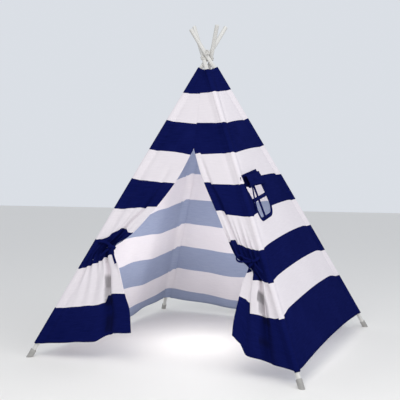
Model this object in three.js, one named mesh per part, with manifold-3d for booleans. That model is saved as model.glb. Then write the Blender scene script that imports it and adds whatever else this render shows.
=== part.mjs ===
// A kids' play teepee: four lashed wooden poles and a striped cotton cover with a
// tied-back doorway and a small barred window. Millimetres, +Z up, door facing -Y.
import * as THREE from 'three';
import { ConvexGeometry } from 'three/addons/geometries/ConvexGeometry.js';
import { mergeVertices } from 'three/addons/utils/BufferGeometryUtils.js';
import Module from 'manifold-3d';

// Poles: where each foot stands, where its axis passes the crossing height, how far it
// bows outwards at half length, and where the cover's hem sits on it, measured along it.
const poleDiameter = 19;
const poleLength = 1754;
const crossHeight = 1326;
const poles = {
  left: { foot: [-605.5, -609.5], cross: [-22.5, -27.5], bow: 2.5, hem: 62 },
  near: { foot: [602.5, -568.5], cross: [-20, -54.5], bow: 1.3, hem: 60 },
  right: { foot: [605.5, 593.5], cross: [1.5, -48.7], bow: 6.5, hem: 84 },
  back: { foot: [-583.5, 609.5], cross: [-0.5, -24.3], bow: -2.8, hem: 92 },
};
const roundSides = 16;
const seatGap = 0.3;
const clothEdgeGap = 0.6;

// Rubber feet: a cup round each pole end with a level sole.
const footDiameter = 25;
const footHeight = 36;
const soleThickness = 12;

// Cover
const coverTopHeight = 1285;
const sleeveWall = 1.3;
const clothThickness = 2;

// Doorway: the slit starts where the two door panels part, and each free edge is drawn
// to its tie. Points are [distance from the panel's own pole, height]. A hem's points are
// [share of the way from its pole to the free corner, height above the straight line].
const slitHeight = 910;
const seamShare = 0.55;
const doorEdges = {
  left: [[215, 772], [187, 638], [147, 529], [94, 476], [176, 388], [286, 274], [340, 223],
    [409, 132]],
  near: [[171, 785], [146, 628], [130, 512], [80, 430], [154, 300], [205, 210], [227, 159]],
};
const doorHems = {
  left: [[0, 0], [0.4, -12], [0.62, -20], [0.74, 12], [1, 0]],
  near: [[0, 0], [0.4, -22], [0.77, -46], [0.88, -12], [1, 0]],
};
const tieHeights = {
  left: { pole: 484, waist: [94, 476], rowShare: 0.58 },
  near: { pole: 480, waist: [80, 430], rowShare: 0.56 },
};
const pleatDepth = 12;
const pleatCount = 3;
const gatherReach = 0.2;
const bandRoom = pleatDepth + 6;
const bandOvershoot = 13.5;
const tieWidth = 22;
const tieThickness = 1.6;
const knotRadius = 9;
const knotShape = [1.1, 0.75, 0.9];
const tailWidth = 8;
const tailThickness = 1.6;
const tailSpread = 4;
const tailBow = 2;
// Each tail runs this far across the face and up it from its knot
const tieTails = {
  left: { tie_tail_left_long: [30, -62], tie_tail_left_short: [-38, -38] },
  near: { tie_tail_near: [38, -38] },
};
// Where each knot sits on its band: past the cloth's waist, along the pole and outwards
const knotOffset = { left: [5, -7, -1.9], near: [-2, 0, 0] };
const loopReach = 40;
const loopDrop = 26;

// Window: its centre's distance from the near pole and height, its size over the binding,
// how much its level lines rise towards the right pole, and its bars' offset and lean
const windowCentreFromPole = 152;
const windowHeight = 693;
const windowWidth = 208;
const windowTall = 207;
const windowRise = 0.1;
const windowCorners = { near: 16, right: 75 };
const bindingWidth = 15;
const barWidth = 15;
const barOffset = { upright: -22, level: -16 };
const barLean = 0.22;
const trimThickness = 1.5;
const rollLength = 205;
const rollHeight = 46;
const rollDepth = { near: 34, right: 14 };
const rollOffset = [-12, 69];
const strapOffset = -88;
const strapWidth = 14;
const strapTailEnd = [14, -52, -20];

// Top cord: a band of turns that hugs the four poles at the crossing
const cordBandHeight = 16;
const cordThickness = 4;

const colours = {
  wood: { color: 0xe1dcd2, roughness: 0.55, metalness: 0 },
  rubber: { color: 0xb9b7b2, roughness: 0.7, metalness: 0 },
  navy: { color: 0x0f1650, roughness: 0.95, metalness: 0 },
  cream: { color: 0xe8e3e9, roughness: 0.95, metalness: 0 },
  cord: { color: 0xe6e0d2, roughness: 0.9, metalness: 0 },
};

const wasm = await Module();
wasm.setup();
const up = new THREE.Vector3(0, 0, 1);
const lerp = THREE.MathUtils.lerp;
const object = new THREE.Group();

function addPiece(name, geometry, finish) {
  const piece = new THREE.Mesh(geometry, new THREE.MeshStandardMaterial(colours[finish]));
  piece.name = name;
  object.add(piece);
}

// Booleans
function toSolid(geometry) {
  const bare = geometry.clone();
  bare.deleteAttribute('normal');
  bare.deleteAttribute('uv');
  const merged = mergeVertices(bare, 1e-4);
  return new wasm.Manifold(new wasm.Mesh({
    numProp: 3,
    vertProperties: new Float32Array(merged.attributes.position.array),
    triVerts: new Uint32Array(merged.index.array),
  }));
}

function toGeometry(solid) {
  const mesh = solid.getMesh();
  const geometry = new THREE.BufferGeometry();
  geometry.setAttribute('position', new THREE.BufferAttribute(mesh.vertProperties, 3));
  geometry.setIndex(new THREE.BufferAttribute(mesh.triVerts, 1));
  return geometry;
}

// Pole axes
function poleAxis(name) {
  const { foot, cross } = poles[name];
  const start = new THREE.Vector3(foot[0], foot[1], 0);
  const through = new THREE.Vector3(cross[0], cross[1], crossHeight);
  return { start, direction: through.sub(start).normalize() };
}

function polePoint(name, along) {
  const { start, direction } = poleAxis(name);
  const outward = start.clone().addScaledVector(direction, -start.dot(direction)).normalize();
  const share = along / poleLength;
  const bow = poles[name].bow * 4 * share * (1 - share);
  return start.clone().addScaledVector(direction, along).addScaledVector(outward, bow);
}

function alongAtHeight(name, height) {
  return height / poleAxis(name).direction.z;
}

function polePath(name, from, to) {
  const points = [];
  const spans = 6;
  for (let i = 0; i <= spans; i += 1) {
    points.push(polePoint(name, lerp(from, to, i / spans)));
  }
  return new THREE.CatmullRomCurve3(points);
}

function ringPoints(radius, sides = roundSides) {
  const points = [];
  for (let i = 0; i < sides; i += 1) {
    const angle = (2 * Math.PI * i) / sides;
    points.push(new THREE.Vector2(radius * Math.cos(angle), radius * Math.sin(angle)));
  }
  return points;
}

function roundRod(path, radius, steps, boreRadius = 0) {
  const section = new THREE.Shape(ringPoints(radius));
  if (boreRadius > 0) {
    section.holes.push(new THREE.Path(ringPoints(boreRadius)));
  }
  return new THREE.ExtrudeGeometry(section, { steps, bevelEnabled: false, extrudePath: path });
}

const poleRadius = poleDiameter / 2;
const sleeveBore = poleRadius + seatGap + 0.2;
const sleeveRadius = sleeveBore + sleeveWall;

function footCap(name) {
  const belowFloor = -25;
  const outer = toSolid(roundRod(polePath(name, belowFloor, footHeight), footDiameter / 2, 2));
  const bore = toSolid(roundRod(polePath(name, soleThickness - seatGap, 2 * footHeight),
    sleeveBore, 2));
  const room = new THREE.BoxGeometry(200, 200, 200);
  const foot = poleAxis(name).start;
  room.translate(foot.x, foot.y, 100);
  return toGeometry(outer.subtract(bore).intersect(toSolid(room)));
}

function addPoles() {
  for (const name of Object.keys(poles)) {
    const rod = roundRod(polePath(name, soleThickness, poleLength), poleRadius, 8);
    addPiece(`pole_${name}`, rod, 'wood');
    addPiece(`foot_cap_${name}`, footCap(name), 'rubber');
    const top = alongAtHeight(name, coverTopHeight);
    const sleevePath = polePath(name, poles[name].hem, top);
    addPiece(`sleeve_${name}`, roundRod(sleevePath, sleeveRadius, 8, sleeveBore), 'cream');
  }
}

// The top cord is the space between two hulls round the four poles.
function cordHull(clearance, halfHeight) {
  const points = [];
  for (const name of Object.keys(poles)) {
    for (const height of [crossHeight - halfHeight, crossHeight + halfHeight]) {
      const centre = polePoint(name, alongAtHeight(name, height));
      const { direction } = poleAxis(name);
      const across = new THREE.Vector3().crossVectors(direction, up).normalize();
      const slope = new THREE.Vector3().crossVectors(up, across);
      for (const point of ringPoints(poleRadius + clearance)) {
        points.push(centre.clone()
          .addScaledVector(across, point.x)
          .addScaledVector(slope, point.y / direction.z));
      }
    }
  }
  return new ConvexGeometry(points);
}

function addTopCord() {
  const outer = toSolid(cordHull(cordThickness, cordBandHeight / 2));
  const inner = toSolid(cordHull(seatGap + 0.2, cordBandHeight));
  addPiece('top_cord', toGeometry(outer.subtract(inner)), 'cord');
}

// A sheet is a grid of points with thickness: rows run left to right seen from outside,
// and the first row is the lowest.
function sheetSolid(rows, thickness) {
  const rowCount = rows.length;
  const columnCount = rows[0].length;
  const at = (r, c) => rows[Math.max(0, Math.min(rowCount - 1, r))][
    Math.max(0, Math.min(columnCount - 1, c))];
  const positions = [];
  for (const side of [1, -1]) {
    for (let r = 0; r < rowCount; r += 1) {
      for (let c = 0; c < columnCount; c += 1) {
        const across = at(r, c + 1).clone().sub(at(r, c - 1));
        const rise = at(r + 1, c).clone().sub(at(r - 1, c));
        const normal = across.cross(rise).normalize();
        const point = at(r, c).clone().addScaledVector(normal, (side * thickness) / 2);
        positions.push(point.x, point.y, point.z);
      }
    }
  }
  const front = (r, c) => r * columnCount + c;
  const back = (r, c) => front(r, c) + rowCount * columnCount;
  const faces = [];
  const quad = (a, b, c, d) => faces.push(a, b, c, a, c, d);
  for (let r = 0; r < rowCount - 1; r += 1) {
    for (let c = 0; c < columnCount - 1; c += 1) {
      quad(front(r, c), front(r, c + 1), front(r + 1, c + 1), front(r + 1, c));
      quad(back(r, c), back(r + 1, c), back(r + 1, c + 1), back(r, c + 1));
    }
  }
  const lastRow = rowCount - 1;
  const lastColumn = columnCount - 1;
  for (let c = 0; c < lastColumn; c += 1) {
    quad(front(0, c), back(0, c), back(0, c + 1), front(0, c + 1));
    quad(front(lastRow, c), front(lastRow, c + 1), back(lastRow, c + 1), back(lastRow, c));
  }
  for (let r = 0; r < lastRow; r += 1) {
    quad(front(r, 0), front(r + 1, 0), back(r + 1, 0), back(r, 0));
    quad(front(r, lastColumn), back(r, lastColumn), back(r + 1, lastColumn),
      front(r + 1, lastColumn));
  }
  const geometry = new THREE.BufferGeometry();
  geometry.setAttribute('position', new THREE.Float32BufferAttribute(positions, 3));
  geometry.setIndex(faces);
  return geometry;
}

// Faces of the cover: each lies between two poles, named in the order seen from outside.
function faceNormal(from, to) {
  const across = polePoint(to, 0).sub(polePoint(from, 0));
  const rise = poleAxis(from).direction.clone().add(poleAxis(to).direction);
  return across.cross(rise).normalize();
}

// How far along the chord a cloth edge stops beside a sleeve
function edgeInset(name, chord) {
  const lean = chord.clone().normalize().dot(poleAxis(name).direction);
  return (sleeveRadius + clothEdgeGap) / Math.sqrt(1 - lean * lean);
}

// A point of a face, from the heights at its two poles and a share of the width
function facePoint(from, to, heightFrom, heightTo, share) {
  const a = polePoint(from, heightFrom);
  const chord = polePoint(to, heightTo).sub(a);
  const width = chord.length();
  const start = edgeInset(from, chord);
  const end = width - edgeInset(to, chord);
  return a.addScaledVector(chord, lerp(start, end, share) / width);
}

// Plain panels: billow bends the cloth inwards and sag drops its hem between the poles.
function plainPoint(panel, rise, share) {
  const { from, to, billow, sag } = panel;
  const topFrom = alongAtHeight(from, coverTopHeight);
  const topTo = alongAtHeight(to, coverTopHeight);
  const point = facePoint(from, to, lerp(poles[from].hem, topFrom, rise),
    lerp(poles[to].hem, topTo, rise), share);
  const belly = 4 * share * (1 - share);
  point.addScaledVector(faceNormal(from, to), -billow * belly * Math.sin(Math.PI * rise));
  point.z -= sag * belly * (1 - rise);
  return point;
}

function plainRows(panel, columns, rowCount, lift = 0) {
  const rows = [];
  const normal = faceNormal(panel.from, panel.to);
  for (let r = 0; r <= rowCount; r += 1) {
    const row = [];
    for (let c = 0; c <= columns; c += 1) {
      row.push(plainPoint(panel, r / rowCount, c / columns).addScaledVector(normal, lift));
    }
    rows.push(row);
  }
  return rows;
}

const windowPanel = { from: 'near', to: 'right', billow: 6, sag: -8 };
const rearPanels = {
  rear_panel_right: { from: 'right', to: 'back', billow: 6, sag: 32 },
  rear_panel_left: { from: 'back', to: 'left', billow: 6, sag: 36 },
};

function addRearPanels() {
  for (const [name, panel] of Object.entries(rearPanels)) {
    addPiece(name, sheetSolid(plainRows(panel, 12, 14), clothThickness), 'cream');
  }
}

// Window: its own frame has x along the face, rising a little, y up the slope and z
// outwards, and lies on the billowed cloth.
function windowFrame() {
  const { from, to } = windowPanel;
  const hem = poles[from].hem;
  const rise = (alongAtHeight(from, windowHeight) - hem)
    / (alongAtHeight(from, coverTopHeight) - hem);
  const width = plainPoint(windowPanel, rise, 0).distanceTo(plainPoint(windowPanel, rise, 1));
  const share = windowCentreFromPole / width;
  const step = 0.02;
  const across = plainPoint(windowPanel, rise, share + step)
    .sub(plainPoint(windowPanel, rise, share - step)).normalize();
  const slope = plainPoint(windowPanel, rise + step, share)
    .sub(plainPoint(windowPanel, rise - step, share));
  const normal = across.clone().cross(slope).normalize();
  const upSlope = normal.clone().cross(across);
  across.addScaledVector(upSlope, windowRise);
  return new THREE.Matrix4().makeBasis(across, upSlope, normal)
    .setPosition(plainPoint(windowPanel, rise, share));
}

function windowShape(inset) {
  const x = windowWidth / 2 - inset;
  const y = windowTall / 2 - inset;
  const near = windowCorners.near - Math.min(inset, windowCorners.near / 2);
  const right = windowCorners.right - inset;
  const shape = new THREE.Shape();
  shape.moveTo(x, y);
  shape.lineTo(-x, y);
  shape.lineTo(-x, near - y);
  shape.absarc(near - x, near - y, near, Math.PI, 1.5 * Math.PI, false);
  shape.lineTo(x - right, -y);
  shape.absarc(x - right, right - y, right, 1.5 * Math.PI, 2 * Math.PI, false);
  return shape;
}

function windowPrism(shape, halfDepth = 30) {
  const prism = new THREE.ExtrudeGeometry(shape, {
    depth: 2 * halfDepth, bevelEnabled: false, curveSegments: 5,
  });
  prism.translate(0, 0, -halfDepth);
  prism.applyMatrix4(windowFrame());
  return toSolid(prism);
}

// A bar's outline: x and y of its middle, its size, and how its upright sides lean
function barShape(x, y, width, height, lean = 0) {
  const corners = [[-1, -1], [1, -1], [1, 1], [-1, 1]];
  return new THREE.Shape(corners.map(([side, end]) => (
    new THREE.Vector2(x + (side * width) / 2 + (end * lean * height) / 2, y + (end * height) / 2))));
}

function windowTrim(layer, shape) {
  const step = trimThickness + seatGap;
  const lift = clothThickness / 2 + seatGap + trimThickness / 2 + layer * step;
  const skin = toSolid(sheetSolid(plainRows(windowPanel, 12, 16, lift), trimThickness));
  return skin.intersect(windowPrism(shape));
}

function addWindow() {
  const cloth = toSolid(sheetSolid(plainRows(windowPanel, 12, 16), clothThickness));
  const opening = windowPrism(windowShape(bindingWidth));
  addPiece('window_panel', toGeometry(cloth.subtract(opening)), 'cream');
  const binding = windowTrim(0, windowShape(0)).subtract(opening);
  addPiece('window_binding', toGeometry(binding), 'navy');
  const upright = barShape(barOffset.upright, 0, barWidth, windowTall - bindingWidth, barLean);
  const level = barShape(0, barOffset.level, windowWidth - bindingWidth, barWidth);
  addPiece('window_bar_upright', toGeometry(windowTrim(1, upright)), 'navy');
  addPiece('window_bar_level', toGeometry(windowTrim(2, level)), 'navy');
}

// The rolled-up window flap and the strap that holds it
function rollRest() {
  return clothThickness / 2 + 2 * (seatGap + trimThickness) + seatGap;
}

// The roll is thicker at its near end, where it hangs loose.
function rollDepthAt(x) {
  const share = (x - rollOffset[0]) / rollLength + 0.5;
  return lerp(rollDepth.near, rollDepth.right, share);
}

function addWindowRoll() {
  const section = new THREE.Shape(ringPoints(1));
  const roll = new THREE.ExtrudeGeometry(section, { depth: 1, bevelEnabled: false });
  const spots = roll.attributes.position;
  for (let i = 0; i < spots.count; i += 1) {
    // the section's x becomes outwards, its y up the slope and its length runs across
    const x = rollOffset[0] + (0.5 - spots.getZ(i)) * rollLength;
    const y = rollOffset[1] + (spots.getY(i) * rollHeight) / 2;
    spots.setXYZ(i, x, y, rollRest() + (rollDepthAt(x) / 2) * (1 + spots.getX(i)));
  }
  roll.applyMatrix4(windowFrame());
  addPiece('window_flap_roll', roll, 'navy');
  addRollStrap();
}

function addRollStrap() {
  const halfWidth = strapWidth / 2;
  const standOff = seatGap + 0.3 + tieThickness / 2;
  const depth = rollDepthAt(strapOffset - halfWidth) / 2;
  const outline = [];
  for (let turn = -90; turn <= 80; turn += 10) {
    const angle = THREE.MathUtils.degToRad(turn);
    outline.push(new THREE.Vector3(0,
      rollOffset[1] + (rollHeight / 2 + standOff) * Math.sin(angle),
      rollRest() + depth + (depth + standOff) * Math.cos(angle)));
  }
  const rows = outline.map((point) => [-halfWidth, halfWidth].map((x) => (
    point.clone().setX(strapOffset + x).applyMatrix4(windowFrame()))));
  addPiece('window_roll_strap', sheetSolid(rows, tieThickness), 'navy');
  const hang = outline[0].clone().add(new THREE.Vector3(strapOffset, -tieThickness, 0));
  const drop = [1, 0.5, 0].map((share) => (
    hang.clone().addScaledVector(new THREE.Vector3(...strapTailEnd), share)
      .applyMatrix4(windowFrame())));
  const across = new THREE.Vector3().setFromMatrixColumn(windowFrame(), 0).normalize();
  addTape('window_strap_tail', drop, across);
}

// Tie tails are short limp tapes, given from their free end up.
function addTape(name, points, across) {
  const path = new THREE.CatmullRomCurve3(points);
  const rows = path.getPoints(4 * points.length).map((point) => [-0.5, 0.5].map((side) => (
    point.clone().addScaledVector(across, side * tailWidth))));
  addPiece(name, sheetSolid(rows, tailThickness), 'navy');
}

// Door panels: each runs from its own pole to the shared seam above the slit, and below
// the slit to its free edge, which the tie gathers against the pole.
const doorNormal = faceNormal('left', 'near');

function doorPoint(own, distance, height) {
  const a = polePoint('left', alongAtHeight('left', height));
  const b = polePoint('near', alongAtHeight('near', height));
  const chord = b.clone().sub(a).normalize();
  return own === 'left' ? a.addScaledVector(chord, distance) : b.addScaledVector(chord, -distance);
}

function seamPoint(own, height) {
  const a = polePoint('left', alongAtHeight('left', height));
  const b = polePoint('near', alongAtHeight('near', height));
  const chord = b.clone().sub(a);
  const side = own === 'left' ? -1 : 1;
  const shift = (side * seatGap) / 2 / chord.length();
  return a.addScaledVector(chord, seamShare + shift);
}

function doorEdgeCurve(own) {
  const points = doorEdges[own].map(([distance, height]) => doorPoint(own, distance, height));
  return new THREE.CatmullRomCurve3([seamPoint(own, slitHeight), ...points], false, 'centripetal');
}

function gather(drop, own) {
  const reach = (drop - tieHeights[own].rowShare) / gatherReach;
  return Math.exp(-reach * reach);
}

// Height between points of a profile of [share, height], smoothly
function profileHeight(profile, share) {
  const last = profile.length - 1;
  const next = Math.min(last, Math.max(1, profile.findIndex(([stop]) => stop >= share)));
  const [startShare, startHeight] = profile[next - 1];
  const [endShare, endHeight] = profile[next];
  const blend = THREE.MathUtils.smoothstep(share, startShare, endShare);
  return lerp(startHeight, endHeight, blend);
}

function doorRow(own, edge, drop, columns) {
  const slitAlong = alongAtHeight(own, slitHeight);
  const topAlong = alongAtHeight(own, coverTopHeight);
  const above = drop < 0;
  const along = above ? lerp(slitAlong, topAlong, -drop) : lerp(slitAlong, poles[own].hem, drop);
  const start = polePoint(own, along);
  const free = above
    ? seamPoint(own, lerp(slitHeight, coverTopHeight, -drop)) : edge.getPointAt(drop);
  const chord = free.clone().sub(start);
  start.addScaledVector(chord, edgeInset(own, chord) / chord.length());
  const depth = above ? 0 : pleatDepth * gather(drop, own);
  const fall = Math.max(0, (drop - tieHeights[own].rowShare) / (1 - tieHeights[own].rowShare));
  const row = [];
  for (let c = 0; c <= columns; c += 1) {
    const share = c / columns;
    const pleat = depth * Math.sin(2 * Math.PI * pleatCount * share) * Math.min(1, 6 * share);
    const point = start.clone().lerp(free, share).addScaledVector(doorNormal, pleat);
    point.z += fall * fall * profileHeight(doorHems[own], share);
    row.push(point);
  }
  return own === 'left' ? row : row.reverse();
}

function addDoorPanels() {
  const columns = 24;
  const slitRows = 24;
  const topRows = 8;
  for (const own of ['left', 'near']) {
    const edge = doorEdgeCurve(own);
    const rows = [];
    for (let i = slitRows; i > 0; i -= 1) {
      rows.push(doorRow(own, edge, i / slitRows, columns));
    }
    for (let i = 0; i <= topRows; i += 1) {
      rows.push(doorRow(own, edge, -i / topRows, columns));
    }
    addPiece(`door_panel_${own}`, sheetSolid(rows, clothThickness), 'cream');
  }
}

// Ties: a band from the sleeve round the gathered cloth and back, a knot and its tails.
// The band's own height runs along the pole, so that its two ends lie along the sleeve.
function tieFrame(own) {
  const { pole, waist } = tieHeights[own];
  const start = polePoint(own, alongAtHeight(own, pole));
  const reach = doorPoint(own, waist[0], waist[1]).sub(start);
  const across = reach.clone().normalize();
  const along = poleAxis(own).direction;
  const frame = new THREE.Matrix4().makeBasis(across, along, doorNormal).setPosition(start);
  const lean = across.dot(along);
  return { frame, length: reach.length(), squareness: Math.sqrt(1 - lean * lean) };
}

function addTie(own) {
  const { frame, length, squareness } = tieFrame(own);
  const place = (x, y, z) => new THREE.Vector3(x, y, z).applyMatrix4(frame);
  const seat = sleeveRadius + seatGap + 0.15;
  const seatTurn = THREE.MathUtils.degToRad(36);
  const half = [[(seat * Math.cos(seatTurn)) / squareness, seat * Math.sin(seatTurn)],
    [24, bandRoom - 1], [length * 0.6, bandRoom], [length, bandRoom - 1],
    [length + 0.8 * bandOvershoot, 8]];
  const turn = length + bandOvershoot;
  const loop = [...half, [turn, 0], ...half.map(([x, z]) => [x, -z]).reverse()];
  const path = new THREE.CatmullRomCurve3(loop.map(([x, z]) => new THREE.Vector3(x, 0, z)));
  const rows = [-tieWidth / 2, tieWidth / 2].map((y) => path.getPoints(28)
    .map((p) => place(p.x, y, p.z)));
  const bandRows = own === 'left' ? rows.map((row) => row.reverse()) : rows;
  addPiece(`tie_band_${own}`, sheetSolid(bandRows, tieThickness), 'navy');

  const squash = new THREE.Vector3(...knotShape).multiplyScalar(knotRadius);
  const knotReach = doorNormal.clone().multiply(squash).length();
  const [beyond, along, proud] = knotOffset[own];
  const seatHeight = bandRoom + proud + tieThickness / 2;
  const centre = place(length + beyond, along, seatHeight + knotReach);
  const knot = new THREE.SphereGeometry(1, 12, 8);
  knot.scale(squash.x, squash.y, squash.z);
  knot.translate(centre.x, centre.y, centre.z);
  addPiece(`tie_knot_${own}`, knot, 'navy');
  addTails(own, centre, squash);
}

// Tails leave the knot's underside and lie down the face; the near tie has a bow loop too.
function addTails(own, centre, squash) {
  const upFace = doorNormal.clone().cross(new THREE.Vector3(1, 0, 0)).normalize();
  for (const [name, [across, fall]] of Object.entries(tieTails[own])) {
    const side = Math.sign(across);
    const top = centre.clone().add(new THREE.Vector3(side * tailSpread, -1, -squash.z - seatGap));
    const end = top.clone().add(new THREE.Vector3(across, 0, 0)).addScaledVector(upFace, fall);
    const middle = top.clone().lerp(end, 0.5).addScaledVector(doorNormal, tailBow);
    addTape(name, [end, middle, top], new THREE.Vector3(-fall, 0, across).normalize());
  }
  if (own === 'near') {
    addBowLoop(centre, squash);
  }
}

// The bow's loop lies level beside its knot and droops at its far end.
function addBowLoop(centre, squash) {
  const root = 0.95 * squash.x + seatGap + 0.2;
  const route = [[-root, 3], [-0.5 * loopReach, 11], [-0.88 * loopReach, 5],
    [-loopReach, -0.4 * loopDrop], [-0.78 * loopReach, -0.72 * loopDrop],
    [-0.45 * loopReach, -0.5 * loopDrop], [-root, -3]];
  const upFace = doorNormal.clone().cross(new THREE.Vector3(1, 0, 0)).normalize();
  const points = route.map(([x, y]) => (
    centre.clone().add(new THREE.Vector3(x, 0, 0)).addScaledVector(upFace, y)));
  addTape('tie_loop_near', points, doorNormal);
}

addPoles();
addTopCord();
addDoorPanels();
addRearPanels();
addWindow();
addWindowRoll();
addTie('left');
addTie('near');

export default object;
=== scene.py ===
# A children's play teepee: four poles lashed at the top, a broad-striped cotton cover with
# tied-back door flaps, and a small barred window with its flap rolled up.
# Metres, +Z up. The doorway faces -Y and the window faces +X.
import math
from functools import lru_cache

import bmesh
import bpy
from mathutils import Matrix, Vector, noise
from mathutils.bvhtree import BVHTree


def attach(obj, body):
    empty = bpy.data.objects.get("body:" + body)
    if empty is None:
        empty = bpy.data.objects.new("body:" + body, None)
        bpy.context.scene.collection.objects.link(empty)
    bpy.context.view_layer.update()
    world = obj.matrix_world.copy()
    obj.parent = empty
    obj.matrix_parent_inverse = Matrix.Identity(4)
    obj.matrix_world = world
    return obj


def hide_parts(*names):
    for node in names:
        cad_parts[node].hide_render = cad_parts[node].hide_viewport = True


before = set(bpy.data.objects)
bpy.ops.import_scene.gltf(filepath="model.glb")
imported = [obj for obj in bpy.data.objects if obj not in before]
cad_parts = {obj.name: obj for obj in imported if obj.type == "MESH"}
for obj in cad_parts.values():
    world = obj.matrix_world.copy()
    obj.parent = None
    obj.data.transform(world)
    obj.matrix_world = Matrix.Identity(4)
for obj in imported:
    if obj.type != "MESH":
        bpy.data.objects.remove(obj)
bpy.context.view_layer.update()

scene = bpy.context.scene
scene.view_settings.view_transform = "Standard"
print("frame loaded")

# The tent's own measures. Each pole has its foot, where it passes the crossing's height, how
# far it bows outwards, where the cover's hem sits on it, measured up the pole, and how far
# from its middle the cloth's outside runs.
tent = {
    "poleRadius": 0.0095,
    "poleLength": 1.754,
    "crossHeight": 1.326,
    "coverTop": 1.285,
    "slitTop": 0.910,
    "seamShare": 0.55,
}
poles = {
    "left": {"foot": (-0.6055, -0.6095), "cross": (-0.0225, -0.0275), "bow": 0.0025, "hem": 0.062,
             "skin": 0.0142},
    "near": {"foot": (0.6025, -0.5685), "cross": (-0.0200, -0.0545), "bow": 0.0013, "hem": 0.060,
             "skin": 0.0128},
    "right": {"foot": (0.6055, 0.5935), "cross": (0.0015, -0.0487), "bow": 0.0065, "hem": 0.084,
              "skin": 0.0165},
    "back": {"foot": (-0.5835, 0.6095), "cross": (-0.0005, -0.0243), "bow": -0.0028, "hem": 0.092,
             "skin": 0.0130},
}
poleOrder = list(poles)  # anticlockwise from above, so a face runs from one to the next


# Small helpers
def blendTo(a, b, share):
    return a + (b - a) * share


def blendPairs(start, end, share):
    return tuple(blendTo(a, b, share) for a, b in zip(start, end))


def smoothShare(value, start, end):
    share = min(1.0, max(0.0, (value - start) / (end - start)))
    return share * share * (3 - 2 * share)


def bell(value, width):
    return math.exp(-((value / width) ** 2))


def readProfile(profile, value):
    # straight lines between (where, what) pairs, run on past both ends
    for (x0, y0), (x1, y1) in zip(profile, profile[1:]):
        if value <= x1 or (x1, y1) == profile[-1]:
            return blendTo(y0, y1, (value - x0) / (x1 - x0))


def readSmooth(profile, value):
    # eased between (where, what) pairs and held past both ends
    for (x0, y0), (x1, y1) in zip(profile, profile[1:]):
        if value <= x1:
            return blendTo(y0, y1, smoothShare(value, x0, x1))
    return profile[-1][1]


def poleFoot(name):
    return Vector((*poles[name]["foot"], 0))


def poleDirection(name):
    return (Vector((*poles[name]["cross"], tent["crossHeight"])) - poleFoot(name)).normalized()


def polePoint(name, along):
    foot, direction = poleFoot(name), poleDirection(name)
    outward = (foot - direction * foot.dot(direction)).normalized()
    share = along / tent["poleLength"]
    return foot + direction * along + outward * (poles[name]["bow"] * 4 * share * (1 - share))


def alongAt(name, height):
    return height / poleDirection(name).z


def polesBeside(name):
    # the pairs of poles that hold the face before this pole and the face after it
    order = poleOrder.index(name)
    return (poleOrder[order - 1], name), (name, poleOrder[(order + 1) % 4])


def faceNormal(start, end):
    chord = polePoint(end, 0) - polePoint(start, 0)
    rise = poleDirection(start) + poleDirection(end)
    return chord.cross(rise).normalized()


def smoothPath(points, steps):
    # a centripetal curve through the points, given as many short straight steps
    ends = [points[0] * 2 - points[1], *points, points[-1] * 2 - points[-2]]
    dense = []
    for p0, p1, p2, p3 in zip(ends, ends[1:], ends[2:], ends[3:]):
        t1 = (p1 - p0).length ** 0.5
        t2 = t1 + (p2 - p1).length ** 0.5
        t3 = t2 + (p3 - p2).length ** 0.5
        for step in range(steps):
            t = blendTo(t1, t2, step / steps)
            a1, a2 = p0.lerp(p1, t / t1), p1.lerp(p2, (t - t1) / (t2 - t1))
            a3 = p2.lerp(p3, (t - t2) / (t3 - t2))
            b1, b2 = a1.lerp(a2, t / t2), a2.lerp(a3, (t - t1) / (t3 - t1))
            dense.append(b1.lerp(b2, (t - t1) / (t2 - t1)))
    return dense + [points[-1].copy()]


def distances(path):
    # how far along the path each of its points lies
    reach = [0.0]
    for a, b in zip(path, path[1:]):
        reach.append(reach[-1] + (b - a).length)
    return reach


def evenPath(points, count, steps=40):
    # the curve through the points as evenly spaced points
    dense = smoothPath(points, steps)
    reach = distances(dense)
    found, spot = [], 0
    for i in range(count + 1):
        goal = reach[-1] * i / count
        while spot < len(dense) - 2 and reach[spot + 1] < goal:
            spot += 1
        span = reach[spot + 1] - reach[spot]
        found.append(dense[spot].lerp(dense[spot + 1], (goal - reach[spot]) / span if span else 0))
    return found


# Making pieces
def finishPiece(name, bm, slotName, *replaced):
    mesh = bpy.data.meshes.new(name)
    for face in bm.faces:
        face.smooth = True
    bm.to_mesh(mesh)
    bm.free()
    piece = bpy.data.objects.new(name, mesh)
    scene.collection.objects.link(piece)
    for finish in finishes[slotName]:
        mesh.materials.append(finish)
    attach(piece, "root")
    if replaced:
        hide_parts(*replaced)
    return piece


def thicken(piece, thickness, offset=-1.0, inner=0):
    # offset -1 keeps the surface that was modelled as the outer one, and 0 as the middle one
    shell = piece.modifiers.new("thickness", "SOLIDIFY")
    shell.thickness = thickness
    shell.offset = offset
    shell.material_offset = inner


def layFlat(bm, spots):
    # each point's place on the flat cloth is its UV
    flat = bm.loops.layers.uv.new("cloth")
    for face in bm.faces:
        for loop in face.loops:
            loop[flat].uv = spots[loop.vert]


# the last key carries the door flaps' painted shade
clothKeys = ("stripe", "seam", "hem", "paintedShade")


def clothGrid(columns, rows, place):
    # a grid moved by place(u, v), which gives a point, its place on the flat cloth and where
    # it lies in the stripes, from the nearest seam and from the nearest hem, and on a door
    # flap how much painted shade darkens it, for a layer behind that shadows the thin cotton
    bm = bmesh.new()
    bmesh.ops.create_grid(bm, x_segments=columns, y_segments=rows, size=0.5)
    layers = {key: bm.verts.layers.float.new(key) for key in clothKeys}
    spots = {}
    for vert in bm.verts:
        vert.co, spots[vert], marks = place(vert.co.x + 0.5, vert.co.y + 0.5)
        for key, value in zip(clothKeys, marks):
            vert[layers[key]] = value
    layFlat(bm, spots)
    return bm


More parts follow.
